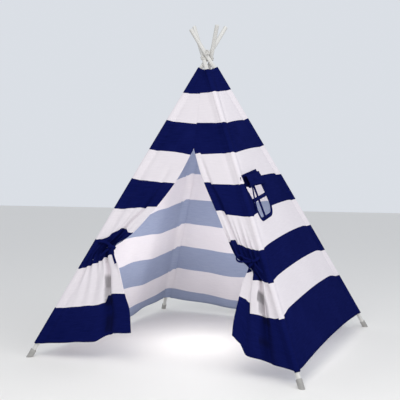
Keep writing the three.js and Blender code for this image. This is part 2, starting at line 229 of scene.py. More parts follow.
def ribbonGrid(path, across, width, rows, arch):
    # a flat tape along a path: its width lies along across, which is one direction or a list
    # with one for each point, and its middle stands up by arch
    acrosses = across if isinstance(across, list) else [across] * len(path)
    steps = len(path) - 1
    reach = distances(path)

    def place(u, v):
        i = round(u * steps)
        along = (path[min(i + 1, steps)] - path[max(i - 1, 0)]).normalized()
        sideways = acrosses[i].normalized()
        side = 2 * v - 1
        point = path[i] + sideways * (side * width / 2)
        point += along.cross(sideways) * (arch * (1 - side * side))
        edge = width / 2 * (1 - abs(side))
        return point, (reach[i], v * width), (0.0, edge, min(edge, reach[i], reach[-1] - reach[i]))

    return clothGrid(steps, rows, place)


def tubeGrid(path, radius, sides, closed=False):
    # a round rod or rope along a path, carried on by turning one section from step to step;
    # radius is a number, or a function of the share of the way along
    steps = len(path) - 1
    bm = bmesh.new()
    bmesh.ops.create_grid(bm, x_segments=steps, y_segments=sides, size=0.5)
    tangents = []
    for i in range(steps + 1):
        before = path[i - 1] if i else (path[steps - 1] if closed else path[0])
        after = path[i + 1] if i < steps else (path[1] if closed else path[steps])
        tangents.append((after - before).normalized())
    side = tangents[0].orthogonal().normalized()
    frames = []
    for tangent in tangents:
        side = (side - tangent * side.dot(tangent)).normalized()
        frames.append((side.copy(), tangent.cross(side)))
    reach, spots = distances(path), {}
    for vert in bm.verts:
        i = round((vert.co.x + 0.5) * steps)
        turn = -2 * math.pi * (vert.co.y + 0.5)
        size = radius(i / steps) if callable(radius) else radius
        spots[vert] = (reach[i], -turn * size)
        a, b = frames[i]
        vert.co = path[i] + a * (size * math.cos(turn)) + b * (size * math.sin(turn))
    layFlat(bm, spots)
    bmesh.ops.remove_doubles(bm, verts=bm.verts, dist=1e-6)
    if not closed:
        bmesh.ops.holes_fill(bm, edges=[e for e in bm.edges if e.is_boundary], sides=0)
    bmesh.ops.recalc_face_normals(bm, faces=bm.faces)
    return bm


# Camera at the photograph's place, floor and soft light
view = {"place": (1.3135, -3.028, 0.7826), "turn": 24.505, "down": 1.942, "roll": -0.115, "lens": 62.49}
studio = {
    "floor": (0.80, 0.78, 0.75),
    "floorSize": 12,
    "floorRoughness": 0.7,
    "air": (0.86, 0.90, 0.96),
    "airStrength": 0.82,
    "aim": (0, 0, 0.6),
}
# Each lamp's place, size, power and colour. The two inside stand for the daylight that the
# thin cotton lets through.
lamps = {
    "key": ((0.5, -2.2, 2.5), 1.8, 30.0, (1.0, 0.98, 0.95)),
    "fill": ((3.0, -1.0, 1.9), 2.6, 34.0, (0.95, 0.97, 1.0)),
    "inside": ((-0.03, -0.06, 0.31), 0.20, 4.4, (1.0, 0.99, 0.97)),
    "insideHigh": ((-0.01, -0.10, 0.84), 0.08, 0.8, (1.0, 0.99, 0.97)),
}


def addCamera():
    lens = bpy.data.cameras.new("camera")
    lens.lens = view["lens"]
    camera = bpy.data.objects.new("camera", lens)
    camera.location = view["place"]
    turn = Matrix.Rotation(math.radians(view["turn"]), 4, "Z")
    tilt = Matrix.Rotation(math.radians(90 - view["down"]), 4, "X")
    roll = Matrix.Rotation(math.radians(view["roll"]), 4, "Z")
    camera.rotation_euler = (turn @ tilt @ roll).to_euler()
    scene.collection.objects.link(camera)
    scene.camera = camera


def addLamp(name):
    place, size, power, colour = lamps[name]
    isPoint = name.startswith("inside")
    lamp = bpy.data.lights.new(name, "POINT" if isPoint else "AREA")
    lamp.energy, lamp.color = power, colour
    light = bpy.data.objects.new(name, lamp)
    light.location = place
    if isPoint:
        lamp.shadow_soft_size = size
    else:
        lamp.size = size
        aim = Vector(studio["aim"]) - light.location
        light.rotation_euler = aim.to_track_quat("-Z", "Y").to_euler()
    scene.collection.objects.link(light)


def addAir():
    world = bpy.data.worlds.new("air")
    world.use_nodes = True
    background = world.node_tree.nodes["Background"]
    background.inputs["Color"].default_value = (*studio["air"], 1)
    background.inputs["Strength"].default_value = studio["airStrength"]
    scene.world = world


def addFloor():
    bm = bmesh.new()
    bmesh.ops.create_grid(bm, x_segments=4, y_segments=4, size=studio["floorSize"])
    mesh = bpy.data.meshes.new("floor")
    bm.to_mesh(mesh)
    bm.free()
    finish = bpy.data.materials.new("floor")
    finish.use_nodes = True
    shader = finish.node_tree.nodes["Principled BSDF"]
    shader.inputs["Base Color"].default_value = (*studio["floor"], 1)
    shader.inputs["Roughness"].default_value = studio["floorRoughness"]
    mesh.materials.append(finish)
    floor = bpy.data.objects.new("floor", mesh)
    scene.collection.objects.link(floor)


addCamera()
for name in lamps:
    addLamp(name)
addAir()
addFloor()
print("studio set")


# Node helpers: a value is a number, a colour or another node's socket
def feed(tree, socket, value):
    if isinstance(value, bpy.types.NodeSocket):
        tree.links.new(value, socket)
    else:
        socket.default_value = value


def addNode(tree, kind, values=None, **settings):
    node = tree.nodes.new(kind)
    for key, value in settings.items():
        setattr(node, key, value)
    for key, value in (values or {}).items():
        feed(tree, node.inputs[key], value)
    return node


def mathNode(tree, operation, a, b=0.0, c=0.0, clamp=False):
    values = {0: a, 1: b, 2: c}
    return addNode(tree, "ShaderNodeMath", values, operation=operation, use_clamp=clamp).outputs[0]


def mixNode(tree, factor, a, b):
    # a Mix node's sockets 6 and 7 are its two colours
    return addNode(tree, "ShaderNodeMix", {0: factor, 6: a, 7: b}, data_type="RGBA").outputs[2]


def rangeNode(tree, value, low, high):
    return addNode(tree, "ShaderNodeMapRange", {0: value, 1: low, 2: high}).outputs[0]


def stretchNode(tree, place, factors):
    return addNode(tree, "ShaderNodeVectorMath", {0: place, 1: factors}, operation="MULTIPLY").outputs[0]


def splitNode(tree, place):
    return addNode(tree, "ShaderNodeSeparateXYZ", {0: place}).outputs


def noiseNode(tree, place, scale, detail, distortion=0.0):
    values = {"Vector": place, "Scale": scale, "Detail": detail, "Distortion": distortion}
    return addNode(tree, "ShaderNodeTexNoise", values).outputs["Fac"]


def clothPlace(tree):
    return addNode(tree, "ShaderNodeUVMap", uv_map="cloth").outputs[0]


def markNode(tree, key):
    return addNode(tree, "ShaderNodeAttribute", attribute_name=key).outputs["Fac"]


def startGroup(name, inputs, outputs):
    # inputs and outputs are {name: (kind, default)}
    group = bpy.data.node_groups.new(name, "ShaderNodeTree")
    for side, sockets in (("INPUT", inputs), ("OUTPUT", outputs)):
        for label, (kind, default) in sockets.items():
            socket = group.interface.new_socket(label, in_out=side, socket_type="NodeSocket" + kind)
            if default is not None:
                socket.default_value = default
    return group, group.nodes.new("NodeGroupInput"), group.nodes.new("NodeGroupOutput")


def useGroup(tree, group, values):
    return addNode(tree, "ShaderNodeGroup", values, node_tree=group).outputs


def startMaterial(name, roughness, sheen=0.0):
    finish = bpy.data.materials.new(name)
    finish.use_nodes = True
    tree = finish.node_tree
    shader = tree.nodes["Principled BSDF"]
    shader.inputs["Roughness"].default_value = roughness
    if sheen:
        shader.inputs["Sheen Weight"].default_value = sheen
        shader.inputs["Sheen Roughness"].default_value = 0.6
        shader.inputs["Specular IOR Level"].default_value = 0.0
    return finish, tree, shader


def joinBump(tree, shader, height, strength, distance):
    bump = addNode(tree, "ShaderNodeBump", {"Strength": strength, "Distance": distance, "Height": height})
    tree.links.new(bump.outputs["Normal"], shader.inputs["Normal"])


# Plain weave with slubs: thick places that run along the weft, and slow changes of tone
def makeWeaveGroup():
    inputs = {"Cloth": ("Vector", None), "Threads": ("Float", 900.0), "Slub": ("Float", 1.0)}
    outputs = {"Tone": ("Float", None), "Height": ("Float", None)}
    tree, given, result = startGroup("clothWeave", inputs, outputs)
    cloth = given.outputs["Cloth"]
    parts = splitNode(tree, cloth)
    turns = mathNode(tree, "MULTIPLY", given.outputs["Threads"], 2 * math.pi)
    waves = [mathNode(tree, "SINE", mathNode(tree, "MULTIPLY", parts[axis], turns)) for axis in (0, 1)]
    weave = mathNode(tree, "MULTIPLY", *waves)
    slub = noiseNode(tree, stretchNode(tree, cloth, (16.0, 300.0, 1.0)), 1.0, 3.0)
    warp = noiseNode(tree, stretchNode(tree, cloth, (420.0, 9.0, 1.0)), 1.0, 2.0)
    cloud = noiseNode(tree, cloth, 5.0, 3.0)
    slubs = mathNode(tree, "MULTIPLY", slub, given.outputs["Slub"])
    threads = mathNode(tree, "MULTIPLY_ADD", warp, 0.35, slubs)
    feed(tree, result.inputs["Tone"], mathNode(tree, "MULTIPLY_ADD", cloud, 0.5, threads))
    feed(tree, result.inputs["Height"], mathNode(tree, "MULTIPLY_ADD", weave, 0.22, threads))
    return tree


# A row of machine stitches at a set distance from an edge, in a shallow groove
def makeStitchGroup():
    inputs = {"Gap": ("Float", 0.0), "Along": ("Float", 0.0), "Line": ("Float", 0.012),
              "Pitch": ("Float", 0.0032), "Width": ("Float", 0.0011)}
    tree, given, result = startGroup("stitchRow", inputs, {"Groove": ("Float", None)})
    off = mathNode(tree, "ABSOLUTE", mathNode(tree, "SUBTRACT", given.outputs["Gap"], given.outputs["Line"]))
    near = mathNode(tree, "DIVIDE", off, given.outputs["Width"])
    near = mathNode(tree, "SUBTRACT", 1.0, near, clamp=True)
    beat = mathNode(tree, "DIVIDE", given.outputs["Along"], given.outputs["Pitch"])
    beat = mathNode(tree, "LESS_THAN", mathNode(tree, "FRACT", beat), 0.72)
    thread = mathNode(tree, "MULTIPLY", mathNode(tree, "GREATER_THAN", near, 0.35), beat)
    wide = mathNode(tree, "DIVIDE", off, mathNode(tree, "MULTIPLY", given.outputs["Width"], 3.0))
    wide = mathNode(tree, "SUBTRACT", 1.0, wide, clamp=True)
    groove = mathNode(tree, "MULTIPLY_ADD", thread, 0.8, mathNode(tree, "MULTIPLY", wide, -1.0))
    feed(tree, result.inputs["Groove"], groove)
    return tree


weaveGroup = makeWeaveGroup()
stitchGroup = makeStitchGroup()

clothLook = {
    "outside": {
        "cream": (0.735, 0.690, 0.715, 1),
        "creamShade": (0.660, 0.615, 0.642, 1),
        "navy": (0.0062, 0.0095, 0.080, 1),
        "navyShade": (0.0022, 0.0040, 0.043, 1),
    },
    # seen from inside, the colours are painted lighter, the navy much paler, for the daylight that the thin
    # cotton lets through
    "inside": {
        "cream": (0.800, 0.760, 0.785, 1),
        "creamShade": (0.715, 0.675, 0.710, 1),
        "navy": (0.330, 0.370, 0.500, 1),
        "navyShade": (0.260, 0.300, 0.430, 1),
    },
    # painted shade: the dark colour that the flaps' shadowed patches are drawn towards
    "paintedShade": (0.004, 0.004, 0.008, 1),
    "wander": 0.014,
    "hemLine": 0.020,
    "seamLine": 0.0022,
}


def makeStriped(name, side):
    finish, tree, shader = startMaterial(name, 0.92, 0.003)
    look = clothLook[side]
    cloth = clothPlace(tree)
    marks = {key: markNode(tree, key) for key in clothKeys}
    weave = useGroup(tree, weaveGroup, {"Cloth": cloth})
    parts = splitNode(tree, cloth)

    # the stripes' edges wander by about a millimetre
    wander = noiseNode(tree, cloth, 34.0, 2.0)
    stripe = mathNode(tree, "MULTIPLY_ADD", wander, clothLook["wander"], marks["stripe"])
    stripe = mathNode(tree, "SUBTRACT", stripe, clothLook["wander"] / 2)
    half = mathNode(tree, "FRACT", mathNode(tree, "MULTIPLY", stripe, 0.5))
    isCream = mathNode(tree, "GREATER_THAN", half, 0.5)

    tone = rangeNode(tree, weave["Tone"], 0.6, 1.25)
    cream = mixNode(tree, tone, look["creamShade"], look["cream"])
    navy = mixNode(tree, tone, look["navyShade"], look["navy"])
    colour = mixNode(tree, isCream, navy, cream)
    # the flaps' patches of painted shade darken the colour here
    feed(tree, shader.inputs["Base Color"], mixNode(tree, marks["paintedShade"], colour, clothLook["paintedShade"]))

    # the stitches run along each hem, and up the cloth beside each seam
    grooves = []
    for key, axis in (("hem", 0), ("seam", 1)):
        row = {"Gap": marks[key], "Along": parts[axis], "Line": clothLook[key + "Line"]}
        grooves.append(useGroup(tree, stitchGroup, row)["Groove"])
    grooves = mathNode(tree, "ADD", *grooves)
    height = mathNode(tree, "MULTIPLY_ADD", grooves, 1.6, weave["Height"])
    joinBump(tree, shader, height, 0.35, 0.0006)
    return finish


def makeNavy():
    finish, tree, shader = startMaterial("navyCotton", 0.9, 0.003)
    look = clothLook["outside"]
    cloth = clothPlace(tree)
    weave = useGroup(tree, weaveGroup, {"Cloth": cloth, "Threads": 1100.0, "Slub": 0.8})
    row = {"Gap": markNode(tree, "seam"), "Along": splitNode(tree, cloth)[0],
           "Line": 0.0018, "Pitch": 0.0026, "Width": 0.0007}
    groove = useGroup(tree, stitchGroup, row)["Groove"]
    tone = rangeNode(tree, weave["Tone"], 0.5, 1.1)
    feed(tree, shader.inputs["Base Color"], mixNode(tree, tone, look["navyShade"], look["navy"]))
    height = mathNode(tree, "MULTIPLY_ADD", groove, 1.4, weave["Height"])
    joinBump(tree, shader, height, 0.4, 0.0005)
    return finish


woodLook = {
    "lateWood": (0.54, 0.525, 0.495, 1),
    "earlyWood": (0.64, 0.63, 0.605, 1),
    "pore": (0.42, 0.39, 0.345, 1),
}


def makeWood():
    # limewashed pine: long grain with darker late wood and a few pores, along the pole
    finish, tree, shader = startMaterial("poleWood", 0.5)
    length = clothPlace(tree)
    grain = noiseNode(tree, stretchNode(tree, length, (2.2, 95.0, 1.0)), 1.0, 5.0, 0.6)
    pores = noiseNode(tree, stretchNode(tree, length, (30.0, 900.0, 1.0)), 1.0, 2.0)
    colour = mixNode(tree, rangeNode(tree, grain, 0.42, 0.62), woodLook["lateWood"], woodLook["earlyWood"])
    fleck = rangeNode(tree, pores, 0.62, 0.75)
    colour = mixNode(tree, mathNode(tree, "MULTIPLY", fleck, 0.35), colour, woodLook["pore"])
    feed(tree, shader.inputs["Base Color"], colour)
    feed(tree, shader.inputs["Roughness"], mathNode(tree, "MULTIPLY_ADD", grain, 0.2, 0.4))
    height = mathNode(tree, "SUBTRACT", grain, mathNode(tree, "MULTIPLY", fleck, 0.5))
    joinBump(tree, shader, height, 0.25, 0.0006)
    return finish


rubberLook = {"clean": (0.29, 0.28, 0.265, 1), "worn": (0.38, 0.37, 0.35, 1)}


def makeRubber():
    finish, tree, shader = startMaterial("capRubber", 0.7)
    place = addNode(tree, "ShaderNodeTexCoord").outputs["Object"]
    grit = noiseNode(tree, place, 900.0, 2.0)
    scuff = noiseNode(tree, place, 60.0, 4.0)
    worn = rangeNode(tree, scuff, 0.4, 0.7)
    feed(tree, shader.inputs["Base Color"], mixNode(tree, worn, rubberLook["clean"], rubberLook["worn"]))
    feed(tree, shader.inputs["Roughness"], mathNode(tree, "MULTIPLY_ADD", scuff, 0.3, 0.5))
    joinBump(tree, shader, grit, 0.2, 0.0004)
    return finish


# the groove colour is painted shade, darker between the plies
cordLook = {"groove": (0.42, 0.405, 0.375, 1), "ply": (0.73, 0.715, 0.685, 1), "pitch": 0.0042}


def makeCord():
    # twisted cotton: two plies that lean across the cord, with painted shade in the grooves between them
    finish, tree, shader = startMaterial("tieCord", 0.85, 0.05)
    length = clothPlace(tree)
    parts = splitNode(tree, length)
    lean = mathNode(tree, "ADD", parts[0], parts[1])
    ply = mathNode(tree, "SINE", mathNode(tree, "MULTIPLY", lean, 2 * math.pi / cordLook["pitch"]))
    fuzz = noiseNode(tree, length, 700.0, 2.0)
    # the colour falls to the groove colour as painted shade between the plies
    colour = mixNode(tree, rangeNode(tree, ply, -1.0, 0.2), cordLook["groove"], cordLook["ply"])
    feed(tree, shader.inputs["Base Color"], colour)
    joinBump(tree, shader, mathNode(tree, "MULTIPLY_ADD", fuzz, 0.4, ply), 0.6, 0.0007)
    return finish


# Each slot's materials: the striped cotton has one for its outside and one for its inside, whose colours
# carry painted light
finishes = {
    "striped_cotton": [makeStriped("stripedCotton", "outside"), makeStriped("stripedCottonInsidePaintedLight", "inside")],
    "navy_cotton": [makeNavy()],
    "pole_wood": [makeWood()],
    "cap_rubber": [makeRubber()],
    "tie_cord": [makeCord()],
}
print("materials made")

# Door ties: a tape goes round the gathered flap to a knot, and its ends hang from the knot
tie = {
    "left": {"pole": 0.484, "waist": (0.096, 0.469), "knot": (-0.0015, -0.007, -0.0012), "rise": 0.012},
    "near": {"pole": 0.461, "waist": (0.066, 0.414), "knot": (-0.0280, 0.0, 0.0), "rise": 0.0},
    "room": 0.018,
    "beyond": 0.006,
    "width": 0.013,
    "thickness": 0.0016,
    "knotSize": (0.0099, 0.00675, 0.0081),
    "knotStrand": 0.0031,
    "tailThickness": 0.0014,
    "tailBow": 0.002,
    "seat": 0.0003,
}
knotDrawn = 0.86  # how far a tape's knot fills the room that it has
doorNormal = faceNormal("left", "near")
doorUp = doorNormal.cross(Vector((1, 0, 0))).normalized()


def doorEnds(height):
    return [polePoint(name, alongAt(name, height)) for name in ("left", "near")]


def doorPoint(own, distance, height):
    a, b = doorEnds(height)
    chord = (b - a).normalized()
    return a + chord * distance if own == "left" else b - chord * distance


def tieAxes(own):
    start = polePoint(own, alongAt(own, tie[own]["pole"]))
    reach = doorPoint(own, *tie[own]["waist"]) - start
    return start, reach.normalized(), poleDirection(own), reach.length


def tiePlace(own, x, y, z):
    start, across, along, _ = tieAxes(own)
    return start + across * x + along * y + doorNormal * z


def knotCentre(own):
    size = Vector(tie["knotSize"])
    reach = Vector([n * s for n, s in zip(doorNormal, size)]).length
    beyond, along, proud = tie[own]["knot"]
    height = tie["room"] + proud + tie["thickness"] / 2 + reach
    return tiePlace(own, tieAxes(own)[3] + beyond, along, height)


def knotGrid(centre, axes, strand):
    # a tape tied over itself: one strand that passes twice round and through itself
    fills = [1 - strand / axis.length for axis in axes]
    path, steps = [], 96
    for i in range(steps + 1):
        t = 2 * math.pi * i / steps
        ring = 2 + math.cos(3 * t)
        shares = (ring * math.cos(2 * t) / 3, ring * math.sin(2 * t) / 3, math.sin(3 * t))
        offsets = [axis * (share * fill) for axis, share, fill in zip(axes, shares, fills)]
        path.append(centre + sum(offsets, Vector()))
    bm = tubeGrid(path, lambda share: strand * (1 + 0.12 * math.sin(14 * math.pi * share)), 12, closed=True)
    core = bmesh.ops.create_uvsphere(bm, u_segments=16, v_segments=10, radius=strand * 1.7)
    bmesh.ops.translate(bm, verts=core["verts"], vec=centre)
    return bm


def addTape(name, points, across, width):
    # a short limp tape from where it leaves the knot to its free end: across is its width's
    # direction, or else how far that turns from the plane of a loop
    path = evenPath(points, 28)
    if isinstance(across, float):
        ends = [path[0] - (path[1] - path[0]), *path, path[-1] * 2 - path[-2]]
        across = [doorNormal * math.cos(across) + doorNormal.cross((b - a).normalized()) * math.sin(across)
                  for a, b in zip(ends, ends[2:])]
    bm = ribbonGrid(path, across, width, rows=4, arch=0.0006)
    piece = finishPiece(name + "_tape", bm, "navy_cotton", name)
    thicken(piece, tie["tailThickness"], 0.0)


# Each tail: where it leaves the knot beside its middle, how far it then runs across the face
# and up it, and how wide it is
tails = {
    "left": {"tie_tail_left_long": (0.010, 0.036, -0.067, 0.011),
             "tie_tail_left_short": (-0.004, -0.036, -0.036, 0.008)},
    "near": {"tie_tail_near": (0.004, 0.038, -0.038, 0.008)},
}


def addTails(own):
    centre = knotCentre(own)
    for name, (beside, across, fall, width) in tails[own].items():
        drop = tie["knotSize"][2] * math.cos(min(1.4, abs(beside) / tie["knotSize"][0])) + tie["seat"]
        top = centre + Vector((beside, -0.001, -drop))
        end = top + Vector((across, 0, 0)) + doorUp * fall
        middle = top.lerp(end, 0.5) + doorNormal * tie["tailBow"]
        addTape(name, [top, middle, end], Vector((-fall, 0, across)).normalized(), width)


# The bow's loop, across the face and up it from its knot
bow = {
    "route": ((-0.036, 0.011), (-0.064, 0.0225), (-0.0755, 0.0150), (-0.071, 0.001), (-0.058, -0.0050),
              (-0.036, -0.0030)),
    "turn": math.radians(52),
    "width": 0.0085,
}


def addBowLoop():
    centre = knotCentre("near")
    root = 0.95 * tie["knotSize"][0] + 0.0005
    route = ((-root, 0.004), *bow["route"], (-root, -0.003))
    points = [centre + Vector((x, 0, 0)) + doorUp * y for x, y in route]
    addTape("tie_loop_near", points, bow["turn"], bow["width"])


addTails("left")
addTails("near")
addBowLoop()
print("door tapes hung")

# Cover: its cloth runs straight over the outside of each pole, and a strip behind the pole
# closes a tunnel, whose stitching draws the face in a little.
cover = {
    "length": 1.45,
    "lap": 0.0014,
    "clear": 0.0113,
    "tuck": 0.007,
    "tunnel": 0.034,
    "loft": 0.0068,
    "valley": 0.0036,
    "valleyWidth": 0.013,
    "thickness": 0.0011,
    "seamEnd": 0.006,
    "wrinkle": 0.0022,
    "topDip": 0.017,
    # how wide the stripes are above the first edge and below the last, and how far they run
    "firstStripe": 0.155,
    "lastStripe": 0.3,
    "stripeEnd": 8.98,
}
# Where the stripes' edges cross each pole, from the cover's top edge down, measured up the
# pole. The rear faces were cut apart from the front ones, so theirs lie elsewhere.
stripeEdges = {
    "door left": (1.370, 1.219, 1.059, 0.903, 0.744, 0.583, 0.433, 0.238),
    "door near": (1.360, 1.190, 1.031, 0.871, 0.715, 0.562, 0.419, 0.273),
    "window near": (1.360, 1.190, 1.031, 0.871, 0.715, 0.562, 0.417, 0.269),
    "window right": (1.420, 1.260, 1.107, 0.940, 0.793, 0.638, 0.484, 0.327),
    "rearRight right": (1.260, 1.105, 0.950, 0.806, 0.622, 0.452, 0.297, 0.130),
    "rearRight back": (1.264, 1.109, 0.954, 0.793, 0.638, 0.484, 0.324, 0.171),
    "rearLeft back": (1.264, 1.109, 0.954, 0.793, 0.638, 0.484, 0.324, 0.171),
    "rearLeft left": (1.170, 1.020, 0.860, 0.700, 0.571, 0.407, 0.226, 0.064),
}
# On each face the stripes bend from the straight line between its poles: (stripe edge, how far
# in stripes) pairs, and the shares of the face's width where the bend begins, is full, begins
# to fade and has gone.
faces = {
    "window": {"poles": ("near", "right"), "billow": -0.001, "sag": -0.021, "wraps": ("near", "right"),
               "waves": 0.0, "seed": 3.0, "bendSpan": (-0.02, 0.10, 0.84, 1.0),
               "bend": ((1.2, 0.0), (2, -0.02), (3, -0.02), (3.5, 0.0), (4, 0.08), (5, 0.03), (6, 0.05),
                        (7, 0.085), (8, 0.12), (9, 0.07))},
    "rearRight": {"poles": ("right", "back"), "billow": 0.008, "sag": 0.032, "wraps": ("back",),
                  "waves": 0.010, "seed": 11.0, "bendSpan": (0.955, 1.0, 2.0, 3.0),
                  "bend": ((4, -0.08), (5, -0.14), (6, -0.15), (7, -0.18), (8, -0.03))},
    "rearLeft": {"poles": ("back", "left"), "billow": 0.008, "sag": 0.036, "wraps": (),
                 "waves": 0.012, "seed": 23.0, "bendSpan": (-2.0, -1.0, 0.20, 0.42),
                 "bend": ((3, -0.06), (4, -0.08), (5, -0.16), (6, -0.17), (7, -0.23), (8, -0.02)),
                 "nudges": ((5, 0.64, 0.10), (8, 0.34, 0.14), (7.5, 0.30, 0.05), (4, 0.53, -0.12))},
    "door": {"poles": ("left", "near"), "wraps": ("left",)},
}


def numbered(edges):
    return [(edge, float(i + 1)) for i, edge in enumerate(edges)]


def stripeAt(key, along):
    # 1 at the first edge, 2 at the next: even stretches are navy
    edges = stripeEdges[key]
    if along > edges[0]:
        return 1 - (along - edges[0]) / cover["firstStripe"]
    if along < edges[-1]:
        return min(cover["stripeEnd"], len(edges) + (edges[-1] - along) / cover["lastStripe"])
    return readProfile(numbered([-edge for edge in edges]), -along)


def faceStripe(name, rise, across):
    face = faces[name]
    share = across / faceRow(name, rise)["width"]
    ends = [stripeAt(name + " " + pole, coverAlong(pole, rise)) for pole in face["poles"]]
    stripe = blendTo(*ends, min(1.0, max(0.0, share)))
    begin, full, fade, gone = face["bendSpan"]
    reach = smoothShare(share, begin, full) * (1 - smoothShare(share, fade, gone))
    bent = stripe + reach * readSmooth(face["bend"], stripe)
    for edge, place, amount in face.get("nudges", ()):
        bent += amount * bell(stripe - edge, 0.45) * bell(share - place, 0.09)
    return min(bent, cover["stripeEnd"])


def coverAlong(pole, rise):
    dip = cover["topDip"] * smoothShare(rise, 0.86, 1.0) if pole == "near" else 0.0
    return blendTo(poles[pole]["hem"], alongAt(pole, tent["coverTop"]), rise) - dip


def poleCorner(pole, along, start, end):
    # how the cloth of the face from start to end turns round one of its two poles
    direction = poleDirection(pole)
    before, after = polesBeside(pole)

    def across(pair):
        normal = faceNormal(*pair)
        return (normal - direction * normal.dot(direction)).normalized()

    normal, beyond = across((start, end)), across(after if pole == end else before)
    away = (beyond - normal * beyond.dot(normal)).normalized()
    return {"centre": polePoint(pole, along), "direction": direction, "normal": normal, "away": away,
            "turn": normal.angle(beyond), "skin": poles[pole]["skin"]}


def tunnelWidth(width):
    return min(cover["tunnel"], 0.42 * width)


@lru_cache(maxsize=None)
def faceRow(name, rise):
    pair = faces[name]["poles"]
    corners = [poleCorner(pole, coverAlong(pole, rise), *pair) for pole in pair]
    chord = corners[1]["centre"] - corners[0]["centre"]
    return {"corners": corners, "width": chord.length, "chord": chord.normalized(),
            "tunnel": tunnelWidth(chord.length)}


def valleyDepth(width):
    return cover["valley"] * smoothShare(width, 0.06, 0.25)


def clothLift(distance, row, skin):
    # how far the cloth stands out near a pole, beyond its loft between the poles
    tunnel = row["tunnel"]
    over = (skin - cover["loft"]) * 0.5 * (1 + math.cos(math.pi * min(distance / tunnel, 1)))
    return over - valleyDepth(row["width"]) * bell(distance - tunnel, cover["valleyWidth"])


def clearPole(point, corner):
    # the cloth stays off the pole: no nearer to its middle than the surface and a cloth's
    # thickness
    off = point - corner["centre"]
    off -= corner["direction"] * off.dot(corner["direction"])
    short = cover["clear"] - off.length
    return point + off.normalized() * short if short > 0 else point


def lapDrop(distance):
    return cover["lap"] * (1 - smoothShare(distance, 0.009, 0.016))


def roundPole(corner, past, wraps):
    # the cloth's outside once it has passed over the pole's middle
    radius = corner["skin"] if wraps else corner["skin"] - cover["lap"]
    turned = min(past / radius, corner["turn"]) if wraps else past / radius
    flat = past - turned * radius
    normal, away = corner["normal"], corner["away"]
    point = corner["centre"] + normal * (radius * math.cos(turned)) + away * (radius * math.sin(turned))
    return point + (away * math.cos(turned) - normal * math.sin(turned)) * flat


def wrinkles(across, along, seed, room):
    spot = Vector((across * 5.5, along * 2.4, seed))
    return cover["wrinkle"] * noise.noise(spot) * room


def facePoint(name, across, rise):
    face, row = faces[name], faceRow(name, rise)
    width = row["width"]
    for corner, pole, past in zip(row["corners"], face["poles"], (-across, across - width)):
        if past > 0:
            return roundPole(corner, past, pole in face["wraps"])
    share = across / width
    normal = row["corners"][0]["normal"].lerp(row["corners"][1]["normal"], share).normalized()
    belly = 4 * share * (1 - share)
    lift = cover["loft"]
    for corner, distance in zip(row["corners"], (across, width - across)):
        lift += clothLift(distance, row, corner["skin"])
    for pole, distance in zip(face["poles"], (across, width - across)):
        if pole not in face["wraps"]:
            lift -= lapDrop(distance)
    lift -= face["billow"] * belly * math.sin(math.pi * rise)
    fall = (1 - rise) ** 2
    lift += face["waves"] * belly * fall * math.sin(2 * math.pi * 3.2 * share + face["seed"])
    room = smoothShare(min(across, width - across), 0.03, 0.16)
    lift += wrinkles(across, rise * cover["length"], face["seed"], room)
    point = row["corners"][0]["centre"] + row["chord"] * across + normal * lift
    point.z -= face["sag"] * belly * (1 - rise)
    for corner in row["corners"]:
        point = clearPole(point, corner)
    return point


def clothPast(corner, wraps):
    # how far the cloth runs on past the pole's middle
    return corner["skin"] * corner["turn"] + cover["seamEnd"] if wraps else cover["tuck"]


def acrossAt(name, row, u):
    # even columns, closer together over the poles and beside them
    face = faces[name]
    ends = [clothPast(corner, pole in face["wraps"]) for pole, corner in zip(face["poles"], row["corners"])]
    width = row["width"]
    beside = min(1.5 * row["tunnel"], 0.4 * width)
    stops = [(0, -ends[0]), (0.1, 0), (0.2, beside), (0.8, width - beside), (0.9, width),
             (1, width + ends[1])]
    return readProfile(stops, u)


def seamGap(name, across, row):
    # from the nearest line of stitching: beside each tunnel, and at the laps' edges
    face = faces[name]
    lines = [row["tunnel"], row["width"] - row["tunnel"]]
    for pole, corner, side in zip(face["poles"], row["corners"], (-1, 1)):
        if pole in face["wraps"]:
            past = clothPast(corner, True)
            lines.append(-past if side < 0 else row["width"] + past)
    return min(abs(across - line) for line in lines)


def placeFace(name, u, v):
    rise = round(v, 5)
    row = faceRow(name, rise)
    across = acrossAt(name, row, u)
    stripe = faceStripe(name, rise, across)
    along = rise * cover["length"]
    hem = min(along, cover["length"] - along)
    return facePoint(name, across, rise), (across, along), (stripe, seamGap(name, across, row), hem)


def addFace(name, pieceName, node, rows=72, columns=96, cut=None):
    # returns the whole face as a tree, so that other pieces can be laid on it
    bm = clothGrid(columns, rows, lambda u, v: placeFace(name, u, v))
    tree = BVHTree.FromBMesh(bm)
    if cut:
        cut(bm)
    piece = finishPiece(pieceName, bm, "striped_cotton", node)
    thicken(piece, cover["thickness"], inner=1)
    low, high = faceRow(name, 0.0), faceRow(name, 1.0)
    return tree


addFace("rearRight", "cover_rear_right", "rear_panel_right")
addFace("rearLeft", "cover_rear_left", "rear_panel_left")
print("rear faces hung")

